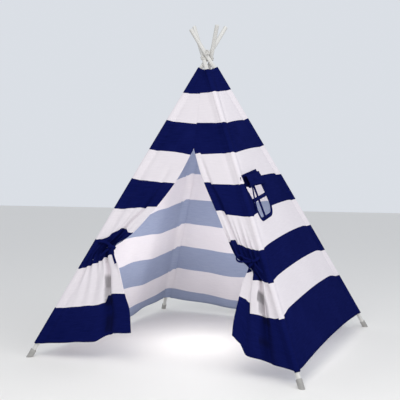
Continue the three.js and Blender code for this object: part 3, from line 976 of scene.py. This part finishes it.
# Door flaps: above the slit the two meet at a seam, and below it each free edge is drawn to
# its tie. Edge points are (distance from the flap's own pole, height), and a hem's points are
# (share of the way to the free corner, height above the straight line).
flaps = {
    "left": {
        "edge": ((0.215, 0.772), (0.187, 0.638), (0.1475, 0.530), (0.1225, 0.5005), (0.098, 0.473),
                 (0.123, 0.436), (0.176, 0.388), (0.286, 0.274), (0.340, 0.223), (0.409, 0.132)),
        "hem": ((0, 0), (0.4, -0.012), (0.62, -0.020), (0.74, 0.012), (1, 0)),
        "waist": 0.58,
        # how far down the free edge each stripe's edge meets it; below 0 it is up the seam
        "stripes": (-0.669, -0.283, 0.041, 0.189, 0.323, 0.480, 0.620, 0.821),
        # each fold: where it runs, how deep it is and how wide, by drop and in shares of the width
        "folds": (
            (((0.02, 0.66), (0.22, 0.69), (0.32, 0.72), (0.42, 0.60), (0.58, 0.58)),
             ((0.05, 0.0), (0.2, 0.005), (0.33, 0.012), (0.5, 0.013), (0.62, 0.0)),
             ((0, 0.08), (0.3, 0.045))),
            (((0.1, 0.40), (0.33, 0.47), (0.58, 0.40)),
             ((0.1, 0.0), (0.3, 0.003), (0.5, 0.006), (0.62, 0.0)), ((0.1, 0.06), (0.5, 0.05))),
            (((0.15, 0.22), (0.58, 0.24)), ((0.2, 0.0), (0.5, 0.005), (0.62, 0.0)),
             ((0.1, 0.05), (0.5, 0.04))),
            (((0.6, 0.77), (0.68, 0.78), (0.8, 0.745), (1.0, 0.74)),
             ((0.56, 0.0), (0.66, 0.016), (0.8, 0.032), (1.0, 0.040)),
             ((0.6, 0.035), (0.8, 0.05), (1.0, 0.07))),
            (((0.6, 0.52), (0.7, 0.54), (1.0, 0.50)),
             ((0.56, 0.0), (0.63, 0.010), (0.72, 0.010), (0.9, 0.003)), ((0.6, 0.045), (1.0, 0.08))),
            (((0.6, 0.33), (0.8, 0.36), (1.0, 0.34)),
             ((0.56, 0.0), (0.64, 0.008), (0.74, 0.006), (0.95, 0.001)), ((0.6, 0.045), (1.0, 0.08))),
            (((0.6, 0.17), (1.0, 0.20)), ((0.56, 0.0), (0.64, 0.005), (0.8, 0.002), (0.95, 0.0)),
             ((0.6, 0.04), (1.0, 0.06))),
        ),
        "behind": (((0.6, 2.0), (1.0, 2.0)), ((0.6, 0.0), (1.0, 0.0))),
        # where the stripes step as the cloth folds: the line, and how far to either side
        "stepLine": ((0.0, 0.66), (0.32, 0.74), (0.42, 0.62), (0.57, 0.60), (0.62, 0.72), (0.7, 0.75),
                     (0.8, 0.715), (1.0, 0.70)),
        "step": ((0.1, 0.0), (0.35, 0.02), (0.60, 0.02), (0.70, 0.05), (0.83, 0.09), (1.0, 0.09)),
        # a fold's crest that carries its stripes higher: (drop, share, how far in stripes)
        "crest": (0.46, 0.55, 0.34),
        # patches of painted shade, where a layer behind shadows the thin cotton: from and to by drop and by
        # share, and how much
        "paintedShadePatches": ((0.712, 0.770, 0.705, 0.800, 0.50), (0.770, 0.818, 0.695, 0.810, 0.30),
                  (0.818, 0.856, 0.695, 0.820, 0.45), (0.905, 0.985, 0.700, 0.770, 0.40)),
        "seed": 41.0,
    },
    "near": {
        "edge": ((0.171, 0.785), (0.146, 0.628), (0.128, 0.511), (0.1195, 0.468), (0.110, 0.446),
                 (0.073, 0.422), (0.091, 0.3925), (0.1145, 0.365), (0.154, 0.300), (0.205, 0.210),
                 (0.227, 0.159)),
        "hem": ((0, 0), (0.4, -0.022), (0.77, -0.046), (0.88, -0.012), (1, 0)),
        "waist": 0.56,
        "stripes": (-0.677, -0.296, 0.040, 0.202, 0.365, 0.535, 0.720, 0.825),
        "folds": (
            (((0.0, 0.88), (0.21, 0.84), (0.3, 0.78), (0.56, 0.72)),
             ((0.04, 0.0), (0.12, 0.006), (0.3, 0.010), (0.5, 0.012), (0.60, 0.0)),
             ((0.0, 0.05), (0.5, 0.05))),
            (((0.3, 0.42), (0.56, 0.45)), ((0.3, 0.0), (0.5, 0.004), (0.6, 0.0)),
             ((0.1, 0.06), (0.5, 0.06))),
            (((0.62, 0.55), (0.72, 0.50), (0.78, 0.42), (1.0, 0.42)),
             ((0.54, 0.0), (0.64, 0.012), (0.72, 0.022), (0.8, 0.032), (1.0, 0.038)),
             ((0.62, 0.04), (0.78, 0.08), (1.0, 0.10))),
            (((0.6, 0.22), (1.0, 0.24)), ((0.54, 0.0), (0.64, 0.007), (0.8, 0.004), (1.0, 0.001)),
             ((0.6, 0.05), (1.0, 0.06))),
        ),
        # past this line the cloth lies behind the rest by so much
        "behind": (((0.62, 0.93), (0.68, 0.85), (0.76, 0.76), (1.0, 0.74)),
                   ((0.60, 0.0), (0.68, 0.008), (0.83, 0.012), (1.0, 0.010))),
        "stepLine": ((0.0, 0.86), (0.21, 0.82), (0.37, 0.76), (0.60, 0.72), (0.70, 0.80), (0.78, 0.74),
                     (1.0, 0.74)),
        "step": ((0.1, 0.02), (0.21, 0.04), (0.37, 0.07), (0.54, 0.10), (0.7, 0.12), (0.83, 0.13),
                 (1.0, 0.13)),
        "crest": (0.55, 0.66, 0.12),
        # patches of painted shade, as on the left flap
        "paintedShadePatches": ((0.735, 0.780, 0.435, 0.580, 0.62), (0.780, 0.820, 0.435, 0.545, 0.36),
                  (0.825, 0.855, 0.300, 0.480, 0.40), (0.915, 0.945, 0.400, 0.550, 0.40)),
        "seed": 57.0,
    },
    "gatherReach": 0.11,
    "gatherDepth": 0.0085,
    "gatherCount": 6,
    "edgeBend": 0.0024,
    # the share of a flap's length that lies below the slit's top
    "slitShare": 0.72,
    # the whole door's width at the hem, how much narrower each flap is than its share of that,
    # and a flap's width at the top
    "doorWidth": 1.17,
    "narrower": 0.075,
    "topWidth": 0.03,
}


def seamPoint(height):
    a, b = doorEnds(height)
    return a.lerp(b, tent["seamShare"])


def slitEdge(own):
    points = [seamPoint(tent["slitTop"])]
    points += [doorPoint(own, *spot) for spot in flaps[own]["edge"]]
    return evenPath(points, 400)


slitEdges = {own: slitEdge(own) for own in ("left", "near")}


def edgePoint(own, drop):
    # drop runs from -1 at the cover's top to 0 at the slit's top and 1 at the hem
    if drop < 0:
        height = blendTo(tent["slitTop"], tent["coverTop"], -drop)
        height -= cover["topDip"] * tent["seamShare"] * smoothShare(-drop, 0.5, 1.0)
        return seamPoint(height)
    path = slitEdges[own]
    spot = min(drop, 0.99999) * (len(path) - 1)
    return path[int(spot)].lerp(path[int(spot) + 1], spot - int(spot))


@lru_cache(maxsize=None)
def flapRow(own, drop):
    slit, top = alongAt(own, tent["slitTop"]), alongAt(own, tent["coverTop"])
    along = blendTo(slit, top, -drop) if drop < 0 else blendTo(slit, poles[own]["hem"], drop)
    if own == "near":
        along -= cover["topDip"] * smoothShare(-drop, 0.5, 1.0)
    corner = poleCorner(own, along, "left", "near")
    free = edgePoint(own, drop)
    chord = free - corner["centre"]
    return {"along": along, "corner": corner, "chord": chord.normalized(), "width": chord.length,
            "tunnel": tunnelWidth(chord.length)}


def flapStripe(own, drop, share):
    flap = flaps[own]
    row = flapRow(own, drop)
    atPole = stripeAt("door " + own, row["along"])
    edges = flap["stripes"]
    # before the first and past the last edge the stripes run on at an even width
    if drop > edges[-1]:
        atEdge = 8 + (drop - edges[-1]) * 5
    elif drop < edges[0]:
        atEdge = 1 + (drop - edges[0]) * 2.6
    else:
        atEdge = readProfile(numbered(edges), drop)
    stripe = blendTo(atPole, atEdge, share)
    if drop > 0:
        fold = readSmooth(flap["stepLine"], drop)
        past = smoothShare(share, fold - 0.015, fold + 0.015)
        run = share / fold if share < fold else (1 - share) / (1 - fold)
        stripe += readSmooth(flap["step"], drop) * run * (2 * past - 1)
        crestDrop, crestShare, height = flap["crest"]
        stripe += height * bell(drop - crestDrop, 0.08) * bell(share - crestShare, 0.22)
    return min(stripe, cover["stripeEnd"])


def flapFolds(own, drop, share):
    # folds that fan out from the tie: many small ones at the waist and a few long ones
    flap = flaps[own]
    if drop <= 0:
        return 0.0
    waist = bell(drop - flap["waist"], flaps["gatherReach"])
    clear = smoothShare(share, 0.06, 0.2)
    turn = flaps["gatherCount"] * share + 0.22 * noise.noise(Vector((share * 7, flap["seed"], 0)))
    uneven = 0.72 + 0.6 * noise.noise(Vector((share * 4.3, drop * 3.0, flap["seed"] + 7)))
    fold = flaps["gatherDepth"] * waist * clear * uneven * math.sin(2 * math.pi * turn)
    for line, depth, width in flap["folds"]:
        near = bell(share - readSmooth(line, drop), readSmooth(width, drop))
        fold -= readSmooth(depth, drop) * near * clear
    line, depth = flap["behind"]
    edge = readSmooth(line, drop)
    soft = 0.012 + 0.06 * smoothShare(drop, 0.72, 0.86)
    fold -= readSmooth(depth, drop) * smoothShare(share, edge - soft, edge + soft)
    return fold


def within(value, start, end, soft):
    # 1 between start and end and 0 beyond them, eased over both edges
    begun = smoothShare(value, start - soft, start + soft)
    return begun * (1 - smoothShare(value, end - soft, end + soft))


def flapPaintedShade(own, drop, share):
    # painted shade: the shadow that a layer lying behind casts through the thin cotton
    paintedShade = 0.0
    for dropStart, dropEnd, shareStart, shareEnd, depth in flaps[own]["paintedShadePatches"]:
        inside = within(drop, dropStart, dropEnd, 0.005) * within(share, shareStart, shareEnd, 0.01)
        paintedShade = max(paintedShade, depth * inside)
    return paintedShade


def flapMargin(own, drop):
    # cloth past the seam above the slit, and past the turned-in free edge below it
    if drop <= 0:
        return 0.004 if own == "left" else 0.0005
    waist = flaps[own]["waist"]
    widths = ((0.0, 0.004), (0.14, 0.042), (waist - 0.14, 0.042), (waist, 0.020),
              (waist + 0.16, 0.076), (1.0, 0.096))
    return readSmooth(widths, drop)


def flapLift(own, drop, across, row, wraps):
    lift = cover["loft"] + clothLift(across, row, row["corner"]["skin"])
    if not wraps:
        lift -= lapDrop(across)
    share = across / row["width"]
    toFree = smoothShare(share, 0.3, 1.0) * smoothShare(drop, 0.02, 0.3)
    lift = blendTo(lift, 0.003, toFree) + flapFolds(own, drop, share)
    room = smoothShare(min(across, row["width"] * 1.2 - across), 0.03, 0.12)
    return lift + wrinkles(across, -drop, flaps[own]["seed"], room)


def placeFlap(own, u, v):
    # v runs up the flap: 0 at the hem, slitShare at the slit's top, 1 at the top edge
    slitShare = flaps["slitShare"]
    drop = round((slitShare - v) / (slitShare if v < slitShare else 1 - slitShare), 5)
    row = flapRow(own, drop)
    width, margin = row["width"], flapMargin(own, drop)
    wraps = own in faces["door"]["wraps"]
    corner = row["corner"]
    stops = [(0, -clothPast(corner, wraps)), (0.07, 0), (0.16, 1.5 * row["tunnel"]), (0.92, width),
             (1, width + margin)]
    across = readProfile(stops, u)
    length = cover["length"] * v
    seam = abs(across - row["tunnel"])
    if drop <= 0:
        seam = min(seam, abs(width - across))
    edge = width + margin - across if drop > 0 else 1.0
    share = min(1.0, max(0.0, across / width))
    hem = min(length, cover["length"] - length, max(edge, 0.0))
    marks = (flapStripe(own, drop, share), seam, hem, flapPaintedShade(own, drop, share))
    spot = (across if own == "left" else -across, length)
    if across < 0:
        return roundPole(corner, -across, wraps), spot, marks

    # past the free edge the cloth turns back and lies behind itself
    past, back, behind = across - width, across, 0.0
    if past > 0 and drop <= 0:
        behind = cover["lap"] * smoothShare(past, 0, 0.002) if own == "left" else 0.0
    elif past > 0:
        bend = flaps["edgeBend"]
        turned = min(past / bend, math.pi)
        back = width + bend * math.sin(turned) - max(0.0, past - math.pi * bend)
        behind = bend * (1 - math.cos(turned)) + 0.005 * smoothShare(past, 0.006, 0.035)
    lift = flapLift(own, drop, min(back, width), row, wraps) - behind
    point = corner["centre"] + row["chord"] * back + doorNormal * lift
    if back < 0.03:
        point = clearPole(point, corner)
    waist = flaps[own]["waist"]
    fall = max(0.0, (drop - waist) / (1 - waist))
    point.z += fall * fall * readSmooth(flaps[own]["hem"], min(back / width, 1.0))
    return point, spot, marks


def addFlap(own):
    # the near flap's own pole is on its right, so its grid is read from right to left
    def place(u, v):
        return placeFlap(own, u if own == "left" else 1 - u, v)

    bm = clothGrid(160, 130, place)
    piece = finishPiece("cover_door_" + own, bm, "striped_cotton", "door_panel_" + own)
    thicken(piece, cover["thickness"], inner=1)


addFlap("left")
addFlap("near")
print("door flaps gathered")

# Window: x runs across the face, rising a little, y up the slope and z outwards
window = {
    "fromPole": 0.1385,
    "height": 0.688,
    "width": 0.205,
    "tall": 0.219,
    "rise": 0.1,
    "nearCorner": 0.026,
    "rightCorner": 0.076,
    "binding": 0.016,
    "uprightBar": 0.021,
    "levelBar": 0.017,
    "upright": -0.026,
    "level": -0.012,
    "lean": 0.22,
    "clothInset": 0.008,
    "cutReach": 0.16,
    # how far each layer stands off the cloth: the edging's front and back, and the two bars
    "front": 0.0009,
    "back": -0.0021,
    "uprightLift": 0.0030,
    "levelLift": 0.0046,
    "edgingThickness": 0.0007,
    "barThickness": 0.0013,
}


def windowAxes():
    hem, top = poles["near"]["hem"], alongAt("near", tent["coverTop"])
    rise = (alongAt("near", window["height"]) - hem) / (top - hem)
    step = 0.02

    def point(across, up):
        return facePoint("window", window["fromPole"] + across, rise + up)

    across = (point(step, 0) - point(-step, 0)).normalized()
    slope = point(0, step) - point(0, -step)
    normal = across.cross(slope).normalized()
    upSlope = normal.cross(across)
    return point(0, 0), across + upSlope * window["rise"], upSlope, normal


windowCentre, windowX, windowY, windowZ = windowAxes()


def windowOutline(inset, steps=10):
    # anticlockwise from the upper right corner, with the same count of points at any inset
    x, y = window["width"] / 2 - inset, window["tall"] / 2 - inset
    near = window["nearCorner"] - min(inset, window["nearCorner"] / 2)
    right = window["rightCorner"] - inset
    points = []

    def line(start, end):
        points.extend(blendPairs(start, end, i / steps) for i in range(steps))

    def arc(cx, cy, radius, start):
        for i in range(steps):
            turn = math.radians(start + 90 * i / steps)
            points.append((cx + radius * math.cos(turn), cy + radius * math.sin(turn)))

    line((x, y), (-x, y))
    line((-x, y), (-x, near - y))
    arc(near - x, near - y, near, 180)
    line((near - x, -y), (x - right, -y))
    arc(x - right, right - y, right, 270)
    line((x, right - y), (x, y))
    return points


def cutWindow(bm):
    # slice the cloth along the outline, each cut only where the window is, and take the
    # middle out
    outline, reach = windowOutline(window["clothInset"], 5), window["cutReach"]
    for (ax, ay), (bx, by) in zip(outline, outline[1:] + outline[:1]):
        if math.hypot(bx - ax, by - ay) < 1e-6:
            continue
        a = windowCentre + windowX * ax + windowY * ay
        b = windowCentre + windowX * bx + windowY * by
        region = [f for f in bm.faces if (f.calc_center_median() - windowCentre).length < reach]
        edges = {e for f in region for e in f.edges}
        verts = {v for f in region for v in f.verts}
        bmesh.ops.bisect_plane(bm, geom=[*region, *edges, *verts], dist=1e-6, plane_co=a,
                               plane_no=(b - a).cross(windowZ))
    inside = []
    for face in bm.faces:
        offset = face.calc_center_median() - windowCentre
        if offset.length < reach and isInWindow(offset, outline):
            inside.append(face)
    bmesh.ops.delete(bm, geom=inside, context="FACES")


def isInWindow(offset, outline):
    y = offset.dot(windowY)
    flatX = windowX - windowY * window["rise"]
    x = offset.dot(flatX)
    y -= x * window["rise"]
    for (ax, ay), (bx, by) in zip(outline, outline[1:] + outline[:1]):
        if (bx - ax) * (y - ay) - (by - ay) * (x - ax) < -1e-9:
            return False
    return True


windowCloth = addFace("window", "cover_window", "window_panel", rows=84, columns=110, cut=cutWindow)


def windowPoint(x, y, lift):
    # a point over the window's place, standing off the cloth as it would lie there
    base = windowCentre + windowX * x + windowY * y
    hit = windowCloth.ray_cast(base + windowZ * 0.05, -windowZ, 0.1)[0]
    return (hit or base) + windowZ * lift


def addBinding():
    # a tape folded over the opening's edge: across its front, round the edge and across its
    # back, as (share of its width, lift) pairs
    outer, inner = windowOutline(0), windowOutline(window["binding"])
    count = len(outer)
    front, back = window["front"], window["back"]
    section = [(0.0, front - 0.0006), (0.06, front), (0.5, front + 0.0004), (0.94, front),
               (1.04, front - 0.0009), (1.04, back + 0.0009), (0.94, back), (0.5, back - 0.0003),
               (0.06, back), (0.0, back + 0.0005)]

    def place(u, v):
        i = round(u * count) % count
        share, lift = section[round(v * (len(section) - 1))]
        x, y = blendPairs(outer[i], inner[i], share)
        edge = window["binding"] * (0.5 - abs(0.5 - min(share, 1)))
        return windowPoint(x, y, lift), (u * 0.8, share * window["binding"]), (0.0, edge, 0.02)

    bm = clothGrid(count, len(section) - 1, place)
    bmesh.ops.remove_doubles(bm, verts=bm.verts, dist=1e-6)
    bmesh.ops.reverse_faces(bm, faces=bm.faces)
    piece = finishPiece("window_edging", bm, "navy_cotton", "window_binding")
    thicken(piece, window["edgingThickness"], 1.0)


def addBar(name, node, start, end, barWidth, lift):
    # each bar's ends are caught under the edging's inner half
    path = [windowPoint(*blendPairs(start, end, i / 24), lift) for i in range(25)]
    lean = Vector((end[0] - start[0], end[1] - start[1])).normalized()
    across = windowX * -lean.y + windowY * lean.x
    bm = ribbonGrid(path, across, barWidth, rows=6, arch=0.0005)
    piece = finishPiece(name, bm, "navy_cotton", node)
    thicken(piece, window["barThickness"])


addBinding()
barReach = window["tall"] / 2 - window["binding"] * 0.5
barSide = window["width"] / 2 - window["binding"] * 0.5
barLean = window["lean"] * barReach
addBar("window_upright_tape", "window_bar_upright", (window["upright"] - barLean, -barReach),
       (window["upright"] + barLean, barReach), window["uprightBar"], window["uprightLift"])
addBar("window_level_tape", "window_bar_level", (-barSide, window["level"]),
       (barSide, window["level"]), window["levelBar"], window["levelLift"])
print("window edged")

# The flap hangs flat from its seam behind the roll, and is rolled up outwards in front of that
roll = {
    "length": 0.3,
    "left": -0.118,
    "right": 0.120,
    "top": (0.102, 0.096),
    "low": (0.052, 0.030),
    "depth": (0.019, 0.011),
    "squareness": 0.6,
    "rest": 0.0050,
    "behind": 0.16,
    "turns": 2.8,
    "shrink": 0.21,
    "slip": (0.040, 0.044),
    "ridge": -0.080,
    "strapAt": -0.086,
    "strapWidth": 0.015,
    "strapThickness": 0.0014,
    "strapReach": 1.06,
    "knot": (0.0125, 0.0085, 0.0080),
    "knotStrand": 0.0032,
    "tail": ((0.024, -0.002), (0.001, -0.060), (-0.024, -0.103)),
    "tailWidth": 0.015,
    "thickness": 0.0008,
    # how far the cloth behind the roll, the strap's sewn end and its hanging end stand off
    "behindLift": 0.0030,
    "strapLift": 0.0048,
    "tailLift": 0.0068,
}


def rollSection(x):
    # the roll's middle height, half height and depth at a place along it
    share = (x - roll["left"]) / (roll["right"] - roll["left"])
    top, low, depth = (blendTo(*roll[key], share) for key in ("top", "low", "depth"))
    return (top + low) / 2, (top - low) / 2, depth


def squared(value):
    return math.copysign(abs(value) ** roll["squareness"], value)


def rollPoint(x, turn, size):
    # turn 0 is the roll's front and 90 its top
    middle, half, depth = rollSection(x)
    base = windowPoint(x, middle, roll["rest"])
    return (base + windowY * (half * size * squared(math.sin(turn)))
            + windowZ * (depth / 2 * (1 + size * squared(math.cos(turn)))))


def addRoll():
    width, length = roll["right"] - roll["left"], roll["length"]

    def place(u, v):
        x = roll["right"] - u * width
        flat = (x, v * length)
        middle, half, _ = rollSection(x)
        marks = (0.0, v * length, min((1 - v) * length, u * width, (1 - u) * width))
        if v < roll["behind"]:
            y = blendTo(middle + half, middle - half + 0.009, v / roll["behind"])
            held = max(x, roll["ridge"])  # past the pole's ridge it stays straight
            return windowPoint(held, y, roll["behindLift"]) + windowX * (x - held), flat, marks
        share = (v - roll["behind"]) / (1 - roll["behind"])
        near, right = roll["slip"]  # how far its layers have slipped in at each end
        x += (near * u - right * (1 - u)) * smoothShare(share, 0.0, 0.2)
        turn = math.radians(-128) + 2 * math.pi * roll["turns"] * share
        size = 1 - roll["shrink"] * roll["turns"] * share
        size *= 1 + 0.02 * math.sin(3 * turn + 9 * u) * share
        return rollPoint(x, turn, size), flat, marks

    bm = clothGrid(48, 160, place)
    bmesh.ops.recalc_face_normals(bm, faces=bm.faces)
    piece = finishPiece("window_flap_rolled", bm, "navy_cotton", "window_flap_roll")
    thicken(piece, roll["thickness"], 0.0)


def addRollStrap():
    # sewn in at the window's top, down over the roll's front and under it to its knot
    x = roll["strapAt"]
    middle, half, _ = rollSection(x)
    path = [windowPoint(x, middle + half, roll["strapLift"])]
    for turn in range(84, -100, -7):
        path.append(rollPoint(x, math.radians(turn), roll["strapReach"]) + windowZ * roll["thickness"])
    path = evenPath(path, 48, 8)
    bm = ribbonGrid(path, -windowX.normalized(), roll["strapWidth"], rows=4, arch=0.0004)
    piece = finishPiece("window_strap", bm, "navy_cotton", "window_roll_strap")
    thicken(piece, roll["strapThickness"], 0.0)
    centre = rollPoint(x, math.radians(-78), 1.0)
    axes = [axis.normalized() * (extent * knotDrawn)
            for axis, extent in zip((windowX, windowY, windowZ), roll["knot"])]
    bm = knotGrid(centre, axes, roll["knotStrand"])
    finishPiece("window_strap_tied", bm, "navy_cotton")
    hang = centre + windowX * roll["tail"][0][0] + windowY * roll["tail"][0][1]
    ends = [windowPoint(x + dx, middle - half + dy, roll["tailLift"]) for dx, dy in roll["tail"][1:]]
    addTape("window_strap_tail", [hang, *ends], windowX.normalized(), roll["tailWidth"])


addRoll()
addRollStrap()
print("window flap rolled")


# Strips behind the poles, from one line of tunnel stitching to the other. Behind a flap the
# strip keeps clear of the folds, which are felt for at places beside the stitching, in
# millimetres.
strip = {
    "flat": 0.075,
    "weaveWidth": 0.08,
    "steps": 24,
    "rows": 96,
    "stitching": (0.006, -0.004),
    "beside": range(-8, 11, 2),
    "clearFlap": 0.0045,
    "clearFace": 0.0008,
    "clearPole": 0.0025,
}


def addTunnel(pole):
    before, after = polesBeside(pole)
    names = {face["poles"]: name for name, face in faces.items()}

    def doorSide(along):
        slit, top = alongAt(pole, tent["slitTop"]), alongAt(pole, tent["coverTop"])
        drop = (slit - along) / (slit - poles[pole]["hem"] if along < slit else top - slit)
        row = flapRow(pole, round(max(drop, -1.0), 5))
        reaches = [row["tunnel"] + step / 1000 for step in strip["beside"]]
        inside = min(flapLift(pole, drop, reach, row, pole == "left") for reach in reaches)
        return row["chord"], row["tunnel"], inside - (cover["thickness"] + strip["clearFlap"])

    def faceSide(other, centre, rise):
        chord = polePoint(other, coverAlong(other, rise)) - centre
        inside = cover["loft"] - valleyDepth(chord.length) - cover["thickness"] - strip["clearFace"]
        return chord.normalized(), tunnelWidth(chord.length), inside

    @lru_cache(maxsize=None)
    def row(rise):
        along = coverAlong(pole, rise)
        centre = polePoint(pole, along)
        ends = []
        for pair, other in ((before, before[0]), (after, after[1])):
            side = doorSide(along) if names[pair] == "door" else faceSide(other, centre, rise)
            chord, tunnel, inside = side
            for off in strip["stitching"]:
                ends.append(centre + chord * (tunnel + off) + faceNormal(*pair) * inside)
        inner = (ends[1] + ends[3]) / 2
        inward = (inner - centre).normalized()
        room = tent["poleRadius"] + strip["clearPole"]
        pinch = centre + inward * max(room, 0.45 * (inner - centre).length)
        points = [ends[0], ends[1], pinch, ends[3], ends[2]]
        return evenPath(points, strip["steps"], 12), along

    def stripeBeside(name, rise, along, first):
        if name == "door":
            return min(stripeAt("door " + pole, along), cover["stripeEnd"])
        width = faceRow(name, rise)["width"]
        return faceStripe(name, rise, width - 0.02 if first else 0.02)

    def place(u, v):
        rise = round(v, 5)
        path, along = row(rise)
        ends = [stripeBeside(names[pair], rise, along, pair == before) for pair in (before, after)]
        stripe = blendTo(*ends, smoothShare(u, 0.35, 0.65))
        marks = (stripe, min(u, 1 - u) * strip["weaveWidth"], min(v, 1 - v) * cover["length"])
        return path[round(u * strip["steps"])], (u * strip["weaveWidth"], v * cover["length"]), marks

    bm = clothGrid(strip["steps"], strip["rows"], place)
    piece = finishPiece("tunnel_" + pole, bm, "striped_cotton", "sleeve_" + pole)
    thicken(piece, cover["thickness"], inner=1)


for pole in poles:
    addTunnel(pole)
print("pole tunnels sewn")


# Poles and their feet
def shadeByAngle(piece, angle):
    piece.data.set_sharp_from_angle(angle=math.radians(angle))


def addPole(name):
    # it starts inside its foot, just above the sole, and its tip is rounded off
    start, bevel, steps = 0.0123, 0.0028, 60
    path = [polePoint(name, blendTo(start, tent["poleLength"], i / steps)) for i in range(steps + 1)]
    bm = tubeGrid(path, tent["poleRadius"], 32)
    top, direction = path[-1], poleDirection(name)
    tip = [e for e in bm.edges if all(abs((v.co - top).dot(direction)) < 1e-5 for v in e.verts)]
    bmesh.ops.bevel(bm, geom=tip, offset=bevel, segments=4, profile=0.5, affect="EDGES", material=-1)
    piece = finishPiece("pole_rod_" + name, bm, "pole_wood", "pole_" + name)
    shadeByAngle(piece, 40)


foot = {"outer": 0.0125, "bore": 0.0100, "height": 0.036, "sole": 0.012, "belowFloor": -0.03}


def addFoot(name):
    # a moulded cup: lip, two grip rings, and a sole cut level with the floor
    outer, bore, height = foot["outer"], foot["bore"], foot["height"]
    profile = [(foot["belowFloor"], outer), (0.010, outer), (0.012, outer - 0.0006), (0.014, outer),
               (0.022, outer), (0.0235, outer - 0.0006), (0.025, outer), (height - 0.0016, outer),
               (height - 0.0004, outer - 0.0005), (height, outer - 0.0013), (height, bore + 0.0003),
               (height - 0.0010, bore), (foot["sole"] - 0.0003, bore)]
    bm = bmesh.new()
    turn = poleDirection(name).to_track_quat("Z", "X").to_matrix().to_4x4()
    ring = None
    for along, radius in profile:
        circle = bmesh.ops.create_circle(bm, segments=40, radius=radius, cap_ends=False)["verts"]
        bmesh.ops.transform(bm, matrix=Matrix.Translation(polePoint(name, along)) @ turn, verts=circle)
        edges = list({e for v in circle for e in v.link_edges if e.other_vert(v) in circle})
        if ring:
            bmesh.ops.bridge_loops(bm, edges=ring + edges)
        ring = edges
    bmesh.ops.holes_fill(bm, edges=ring, sides=0)
    whole = [*bm.verts, *bm.edges, *bm.faces]
    bmesh.ops.bisect_plane(bm, geom=whole, dist=1e-6, plane_co=(0, 0, 0), plane_no=(0, 0, -1),
                           clear_outer=True)
    bmesh.ops.holes_fill(bm, edges=[e for e in bm.edges if e.is_boundary], sides=0)
    bmesh.ops.recalc_face_normals(bm, faces=bm.faces)
    piece = finishPiece("foot_cup_" + name, bm, "cap_rubber", "foot_cap_" + name)
    shadeByAngle(piece, 50)


for name in poles:
    addPole(name)
    addFoot(name)
print("poles standing")

# The lashing's cord goes round three poles and passes behind the fourth, the frontmost. Its way
# round once is given as (pole, from one angle to another, seen from above), and None is the
# middle between the poles. At its end it climbs to a knot beside the frontmost pole.
lashing = {
    "radius": 0.0017,
    "turns": 4,
    "heights": (0.0005, 0.0120),
    "clearance": 0.0003,
    "slack": 1.04,
    "route": (("near", 188, 345), None, ("back", -70, 80), ("left", 100, 178)),
    "climb": (("near", 188, 345, 0.0125), None, ("right", 95, -20, 0.0200)),
    "knot": (0.0098, 0.0150, 0.0068),
    "knotPlace": (0.0043, -0.0681, 0.0300),
    "knotStrand": 0.0027,
}


def lashingStops(stop, height):
    # points every 26 degrees or so of one arc round a pole
    stand = (tent["poleRadius"] + lashing["clearance"] + lashing["radius"]) * lashing["slack"]
    level = tent["crossHeight"] + height
    if stop is None:
        return [sum((polePoint(name, alongAt(name, level)) for name in poles), Vector()) / 4]
    centre = polePoint(stop[0], alongAt(stop[0], level))
    steps = round(abs(stop[2] - stop[1]) / 26)
    turns = [math.radians(blendTo(stop[1], stop[2], i / steps)) for i in range(steps + 1)]
    return [centre + Vector((math.cos(turn), math.sin(turn), 0)) * stand for turn in turns]


def addLashing():
    low, high = lashing["heights"]
    stops = lashing["route"] * lashing["turns"]
    points = []
    for i, stop in enumerate(stops):
        points += lashingStops(stop, blendTo(low, high, i / len(stops)))
    height = high
    for stop in lashing["climb"]:
        height = stop[3] if stop else height
        points += lashingStops(stop, height)
    x, y, rise = lashing["knotPlace"]
    centre = Vector((x, y, tent["crossHeight"] + rise))
    bm = tubeGrid(evenPath(points + [centre], 520, 8), lashing["radius"], 10)
    turned = Matrix.Rotation(math.radians(view["turn"]), 3, "Z")
    width, tall, deep = lashing["knot"]
    axes = [turned @ axis for axis in (Vector((width, 0, 0)), Vector((0, 0, tall)), Vector((0, deep, 0)))]
    knot = bpy.data.meshes.new("knot")
    tied = knotGrid(centre, axes, lashing["knotStrand"])
    tied.to_mesh(knot)
    tied.free()
    bm.from_mesh(knot)
    bpy.data.meshes.remove(knot)
    finishPiece("lashing", bm, "tie_cord", "top_cord")


addLashing()
print("poles lashed")


# Tie bands and knots
def addBand(own):
    # half of the band's way, as (distance from the pole, height over the face) pairs
    _, across, along, length = tieAxes(own)
    squareness = math.sqrt(1 - across.dot(along) ** 2)
    seat = poles[own]["skin"] + 0.0006
    seatTurn = math.radians(36)
    room = tie["room"]
    half = [(seat * math.cos(seatTurn) / squareness, seat * math.sin(seatTurn)),
            (0.024, room - 0.001), (length * 0.6, room), (length, room - 0.001),
            (length + 0.8 * tie["beyond"], 0.008)]
    loop = half + [(length + tie["beyond"], 0.0)] + [(x, -z) for x, z in reversed(half)]
    points = [tiePlace(own, x, tie[own]["rise"] * (z > 0) * math.sin(math.pi * min(1, x / length)), z)
              for x, z in loop]
    path = evenPath(points, 72, 16)
    bm = ribbonGrid(path, along if own == "left" else -along, tie["width"], rows=6, arch=0.0008)
    piece = finishPiece("tie_strap_" + own, bm, "navy_cotton", "tie_band_" + own)
    thicken(piece, tie["thickness"], 0.0)


def addKnot(own):
    size = [extent * knotDrawn for extent in tie["knotSize"]]
    axes = [Vector((1, 0, 0)) * size[0], doorUp * size[2], doorNormal * size[1]]
    bm = knotGrid(knotCentre(own), axes, tie["knotStrand"])
    finishPiece("tie_knot_" + own + "_tied", bm, "navy_cotton", "tie_knot_" + own)


for own in ("left", "near"):
    addBand(own)
    addKnot(own)
print("ties knotted")
